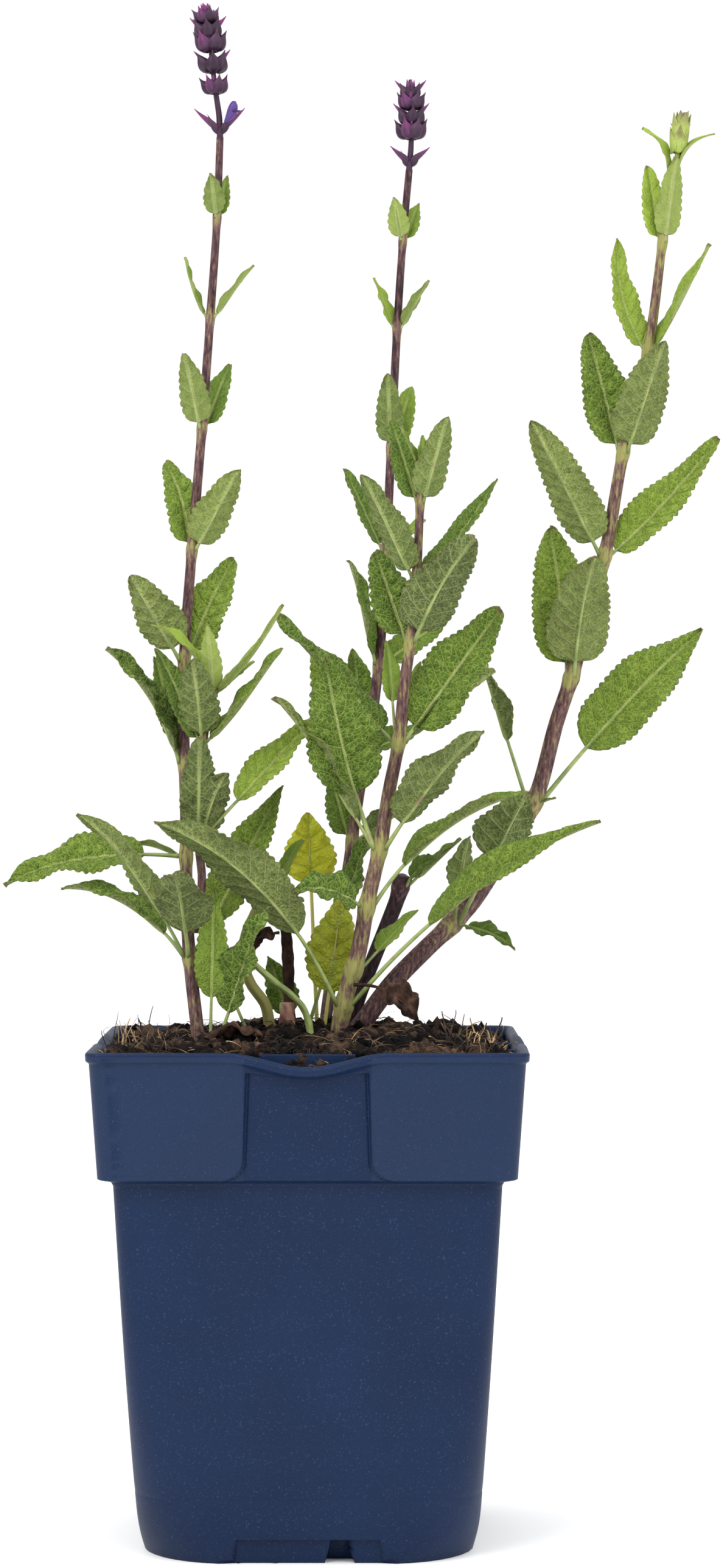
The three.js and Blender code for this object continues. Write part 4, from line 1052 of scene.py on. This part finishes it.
dead_leaves = {
    "hanging_dead_leaf": ([12.5, -14.2, 16], [18, -8, -10, 10, 0.5, 0.15, 0.35]),
    "fallen_dead_leaf": ([-13, -34, 3.2], [-16, -2, 0, 9, 0, 0.05, 0.1]),
    "curled_dead_leaf": ([-8.8, 2, 30], [-9, -2, -8, 8, 0.3, 0.2, 0.1]),
}
for name, (root, row) in dead_leaves.items():
    count += 1
    parts = leaf_parts(f"dry_leaf_{count}", over_rim(root), row, 0.0, 0.0, count, crumple=0.22)
    piece = gather(f"{name}_blade", parts, name)
    for k in range(len(piece.data.materials)):
        piece.data.materials[k] = dry

# ---- Flower spikes ----
# Whorls of ribbed calyces over pointed bracts on a thin axis that goes on from the stem, nearly black purple
# with lighter magenta painted on as highlights. One violet corolla is open on the left spike, and the right
# one is still a green bud.
def axis_at(path, rise):
    """Point and direction of a spike's axis at a rise over its start."""
    up = path[0][2] + rise
    i = 0
    while i < len(path) - 2 and up > path[i + 1][2]:
        i += 1
    a, b = path[i], path[i + 1]
    t = min(1.0, (up - a[2]) / (b[2] - a[2]))
    return over_rim([a[k] + (b[k] - a[k]) * t for k in range(3)]), (Vector(b) - Vector(a)).normalized()


def solid_of(name, rows, faces, glow):
    """A closed piece from points in millimetres, with how much of its lighter colour each point shows."""
    piece = piece_of(name, [tuple(Vector(p) * MM) for p in rows], faces)
    mark(piece.data, "glow", np.ones(len(rows)) * glow)
    tidy(piece, merge=1e-8)
    return piece


def squared(ahead, over):
    """Directions to the side and over that stand square on the one ahead."""
    side = ahead.cross(over).normalized()
    return side, side.cross(ahead).normalized()


def sideways(angle):
    """A level direction at an angle."""
    return Vector((math.cos(angle), math.sin(angle), 0))


def bract(name, root, ahead, over, length, width, curl, cup=0.35):
    """A broad pointed bract, cupped along its middle, as a thin closed sheet."""
    side, over = squared(ahead, over)
    rows, faces, shade = [], [], []
    n, m = 15, 9
    for level in (0, 1):
        for i in range(n):
            s = i / (n - 1)
            half = width / 2 * (math.sin(math.pi * min(1, s * 1.02) ** 0.55) ** 0.9 * (1 - 0.35 * s) + 0.05)
            for j in range(m):
                v = 2 * j / (m - 1) - 1
                lift = curl * length * s**2 + cup * half * v * v - level * 0.22 * (1 - 0.6 * s)
                rows.append(root + ahead * (length * s) + side * (v * half) + over * lift)
                # Lighter towards the tip: on the purple spikes this paints magenta highlight onto the tips,
                # on the bud and the corolla it is their own tint.
                shade.append(0.35 + 0.5 * s)
    for level in (0, 1):
        for i in range(n - 1):
            for j in range(m - 1):
                a = level * n * m + i * m + j
                quad = (a, a + 1, a + m + 1, a + m)
                faces.append(quad if level == 0 else tuple(reversed(quad)))
    last = (n - 1) * m
    rim = list(range(m)) + [i * m + m - 1 for i in range(1, n)]
    rim = rim + [last + j for j in range(m - 2, -1, -1)] + [i * m for i in range(n - 2, 0, -1)]
    for a, b in zip(rim, rim[1:] + rim[:1]):
        faces.append((a, b, b + n * m, a + n * m))
    return solid_of(name, rows, faces, shade)


# Outline of a calyx from its foot to its point: share of its length and of its radius.
CALYX = [
    (0.0, 0.25), (0.04, 0.46), (0.12, 0.76), (0.23, 0.97), (0.35, 1.0), (0.47, 0.90), (0.58, 0.71),
    (0.68, 0.47), (0.77, 0.27), (0.88, 0.14), (1.0, 0.03),
]


def calyx(name, root, ahead, over, length, radius, light):
    """A faintly ribbed, egg-shaped calyx that closes to a short point; light is how much painted magenta
    highlight it starts with.
    """
    side, over = squared(ahead, over)
    rows, shade = [], []
    around = 30
    for t, r in CALYX:
        for k in range(around):
            a = 2 * math.pi * k / around
            rib = 1 + 0.05 * math.cos(6 * a) * min(1, t * 4)
            out = side * math.cos(a) * 1.12 + over * math.sin(a) * 0.9
            rows.append(root + ahead * (t * length) + out * (radius * r * rib))
            # Painted highlight grows towards the point, and the ribs are painted lighter than the grooves
            # between them as painted shade.
            shade.append(light + 0.30 * t + 0.07 * math.cos(6 * a))
    return solid_of(name, rows, tube_faces(len(CALYX), around), shade)


def petals(name, root, ahead, over):
    """A hooded violet corolla with a lower lip."""
    side, over = squared(ahead, over)
    rows = []
    around, steps = 24, 13
    for i in range(steps):
        t = i / (steps - 1)
        mid = root + ahead * (6.4 * t) + over * (1.6 * t * t)
        wide = 0.55 + 1.25 * math.sin(math.pi * min(1, t**1.4)) ** 0.7
        tall = 0.5 + 1.05 * math.sin(math.pi * min(1, t**1.5)) ** 0.7
        if i == steps - 1:
            wide, tall = 0.12, 0.12
        for k in range(around):
            a = 2 * math.pi * k / around
            rows.append(mid + side * (math.cos(a) * wide * 0.75) + over * (math.sin(a) * tall))
    hood = solid_of(name, rows, tube_faces(steps, around), 1.0)
    below = (ahead * 0.85 - over * 0.5).normalized()
    lip = bract(name + "_lip", root + ahead * 3.6 - over * 0.3, below, over, 3.2, 2.8, -0.12)
    return [hood, lip]


def spike_finish(name, dark, mid, light, rough):
    """A softly mottled surface that goes from dark to light with the share kept in each piece; on the purple
    calyces the light colour is painted highlight.
    """
    look = Look(name)
    cloud = look.noise(420, 4, 0.6)
    level = look.number("ADD", look.number("MULTIPLY_ADD", cloud, 0.5, look.read("glow")), -0.25)
    colour = look.ramp(level, [(0.15, dark), (0.55, mid), (1.0, light)])
    return look.finish(colour, rough, (cloud, 0.5, 0.0003), {
        "Specular IOR Level": 0.3, "Sheen Weight": 0.04, "Sheen Tint": (0.8, 0.35, 0.7, 1)})


# The light end of the calyx purple is painted magenta highlight; its dark and middle ends are the calyces'
# own colour.
calyx_purple = spike_finish(
    "calyx_purple", (0.022, 0.008, 0.022), (0.060, 0.020, 0.056), (0.24, 0.028, 0.19), 0.5)
corolla_violet = spike_finish(
    "corolla_violet", (0.016, 0.007, 0.045), (0.032, 0.014, 0.095), (0.075, 0.036, 0.185), 0.5)
bud_green = spike_finish("bud_green", (0.22, 0.29, 0.060), (0.30, 0.37, 0.080), (0.11, 0.045, 0.055), 0.6)

# For each spike: its finish, the points of its axis, and its whorls with their rise, radius, length of
# bracts and turn in degrees.
spikes = {
    "left_flower_spike": (
        calyx_purple,
        [[-25.6, 0, 256.4], [-25.8, 0, 262], [-27, 0, 270], [-28.5, 0, 283], [-29.8, 0, 293]],
        [[1.5, 2.2, 9, 0], [13, 3.6, 5, 90], [19, 4.2, 7, 0], [25, 4.2, 5, 90], [28.5, 4, 7, 0],
         [33, 3.2, 5, 90]]),
    "middle_flower_spike": (
        calyx_purple,
        [[28.4, 20, 250.4], [28.9, 20, 256], [29.1, 20, 262], [28.7, 20, 276]],
        [[1.5, 2.2, 7, 0], [9.5, 4.2, 5, 90], [13.5, 3.8, 7, 0], [18, 3.6, 5, 90], [21, 3, 6, 0]]),
    "right_flower_bud": (
        bud_green,
        [[106.1, 20, 253.9], [106.4, 20, 258], [107.2, 20, 264]],
        [[3, 2.1, 5, 90], [7, 1.9, 3.5, 0]]),
}
AXIS_STEPS = 30
BELOW = 1.2


def axis_piece(name, path):
    """The thin axis of a spike, which starts a little inside the stem's end."""
    tall = path[-1][2] - path[0][2]
    points, radii = [], []
    for k in range(AXIS_STEPS + 1):
        points.append(axis_at(path, (tall + BELOW) * k / AXIS_STEPS - BELOW)[0])
        radii.append(0.95 - 0.45 * k / AXIS_STEPS)
    rows, quads = thread(points, radii, sides=12)
    return solid_of(name + "_axis", rows, quads, 0.25)


def whorl_bracts(name, w, point, up, whorl, first):
    """The pair of bracts under a whorl, one on each side."""
    _, radius, long, turn = whorl
    parts = []
    for side in (0, 1):
        out = sideways(math.radians(turn + 180 * side))
        ahead = (out * (0.80 if first else 0.66) + up * 0.62).normalized()
        root = point + out * 0.55 - up * 0.5
        width = min(long * 0.62, radius * 1.5)
        cup = 1.0 if first else 0.8
        parts.append(bract(f"{name}_bract_{w}_{side}", root, ahead, up, long * 1.05, width, 0.14, cup))
    return parts


def whorl_calyces(name, w, point, up, whorl, first):
    """The calyces of a whorl, two in the lowest and six in the others, with tips of petals between them; the
    third calyx and the petal tips are painted bright magenta as highlights.
    """
    _, radius, long, turn = whorl
    parts = []
    number = 2 if first else 6
    odd = random.Random(w + 3)
    for k in range(number):
        a = math.radians(turn + (0 if first else 30) + 360 * k / number + odd.uniform(-8, 8))
        out = sideways(a)
        ahead = (out * odd.uniform(0.40, 0.62) + up * odd.uniform(0.80, 0.95)).normalized()
        size = 1.05 if first else radius * odd.uniform(0.42, 0.50)
        # The third calyx is painted lighter as a highlight; the others vary in tone at random.
        shade = 0.45 if k == 2 else odd.uniform(0.0, 0.25)
        root = point + out * (0.5 if first else 0.34 * radius) - up * 1.0
        length = 0.72 * long if first else 1.0 + 1.35 * radius
        parts.append(calyx(f"{name}_calyx_{w}_{k}", root, ahead, up, length, size, shade))
        # Petal tips peeking between the calyces: real parts, painted nearly all in the magenta highlight
        # colour to stand for glints.
        if k % 3 == 2 and not first:
            peek = sideways(a + 0.5)
            root = point + peek * (0.42 * radius) + up * 0.6
            ahead = (peek * 0.6 + up).normalized()
            parts.append(calyx(f"{name}_petal_{w}_{k}", root, ahead, up, 2.8, size * 0.55, 0.75))
    return parts


def spike_tip(name, w, point, up):
    """Five small bracts that close over the top of a spike."""
    parts = []
    for k in range(5):
        out = sideways(math.radians(72 * k + 20 + w * 30))
        ahead = (up + out * 0.12).normalized()
        parts.append(bract(f"{name}_tip_{w}_{k}", point + out * 1.1, ahead, -out, 4.6, 3.2, 0.12, 0.6))
    return parts


def bud_scales(name, w, point, up):
    """Three rings of overlapping scales round a closed bud."""
    parts = []
    for ring, (climb, wide, long) in enumerate(((-2.4, 2.5, 7.8), (-1.0, 2.2, 7.0), (0.4, 1.3, 5.2))):
        for k in range(4):
            out = sideways(math.radians(90 * k + 45 * ring + w * 20 - 90))
            root = point + out * wide * 0.75 + up * climb
            ahead = (up + out * (0.24 - 0.10 * ring)).normalized()
            parts.append(bract(f"{name}_scale_{w}_{ring}_{k}", root, ahead, -out, long, 5.2, 0.13, 0.6))
    return parts


for name, (finish, path, whorls) in spikes.items():
    parts = [axis_piece(name, path)]
    bud = finish == bud_green
    for w, whorl in enumerate(whorls):
        point, up = axis_at(path, whorl[0])
        first = w == 0 and not bud
        parts += whorl_bracts(name, w, point, up, whorl, first)
        if bud:
            parts += bud_scales(name, w, point, up)
        else:
            parts += whorl_calyces(name, w, point, up, whorl, first)
            if w == len(whorls) - 1:
                parts += spike_tip(name, w, point, up)
    for part in parts:
        part.data.materials.append(finish)
    if name == "left_flower_spike":
        point, up = axis_at(path, 1.5)
        facing = Vector((0.62, -0.35, 0.70)).normalized()
        corolla = petals("open_corolla", point + Vector((1.6, -1.2, 2.2)), facing, up)
        for part in corolla:
            part.data.materials.append(corolla_violet)
        parts += corolla
    gather(name + "_whorls", parts, name)

# ---- Stage ----
# A plain pale floor under soft light from all around, strongest from above and from behind the plant, with
# two large lamps in front and a level camera.
bpy.ops.mesh.primitive_plane_add(size=6, location=(0, 0, 0))
floor = bpy.context.object
floor.name = "floor"
floor.data.materials.append(Look("pale_floor").finish((0.93, 0.93, 0.93, 1), 0.9))
world = bpy.data.worlds.new("studio")
bpy.context.scene.world = world
world.use_nodes = True
sky = world.node_tree
sky.nodes["Background"].inputs["Color"].default_value = (1, 1, 1, 1)
toward = sky.nodes.new("ShaderNodeSeparateXYZ")
sky.links.new(sky.nodes.new("ShaderNodeTexCoord").outputs["Generated"], toward.inputs[0])


def blend_of(axis, low, high, start, end):
    """A strength that changes smoothly along one axis of the sky."""
    node = sky.nodes.new("ShaderNodeMapRange")
    node.interpolation_type = "SMOOTHSTEP"
    for key, value in (("From Min", low), ("From Max", high), ("To Min", start), ("To Max", end)):
        node.inputs[key].default_value = value
    sky.links.new(toward.outputs[axis], node.inputs["Value"])
    return node.outputs["Result"]


brightest = sky.nodes.new("ShaderNodeMath")
brightest.operation = "MAXIMUM"
sky.links.new(blend_of("Y", 0.70, 0.93, 0.0, 1.06), brightest.inputs[0])
sky.links.new(blend_of("Z", 0.10, 0.75, 0.68, 1.50), brightest.inputs[1])
sky.links.new(brightest.outputs[0], sky.nodes["Background"].inputs["Strength"])


def panel(name, place, size, watts):
    """A square lamp aimed at the middle of the plant."""
    light = bpy.data.lights.new(name, "AREA")
    light.shape = "RECTANGLE"
    light.size = light.size_y = size
    light.energy = watts
    lamp = bpy.data.objects.new(name, light)
    bpy.context.scene.collection.objects.link(lamp)
    lamp.location = place
    lamp.rotation_euler = (Vector((0, 0, 0.2)) - Vector(place)).to_track_quat("-Z", "Y").to_euler()


panel("key", (-0.7, -0.9, 1.1), 0.8, 12)
panel("fill", (0.9, -0.8, 0.7), 0.8, 6)
eye = bpy.data.cameras.new("camera")
eye.lens = 88.1
eye.sensor_width = 36
camera = bpy.data.objects.new("camera", eye)
bpy.context.scene.collection.objects.link(camera)
camera.location = (0.0146, -1.090, 0.2123)
camera.rotation_euler = (math.pi / 2, 0, 0)
bpy.context.scene.camera = camera
bpy.context.scene.view_settings.view_transform = "Standard"
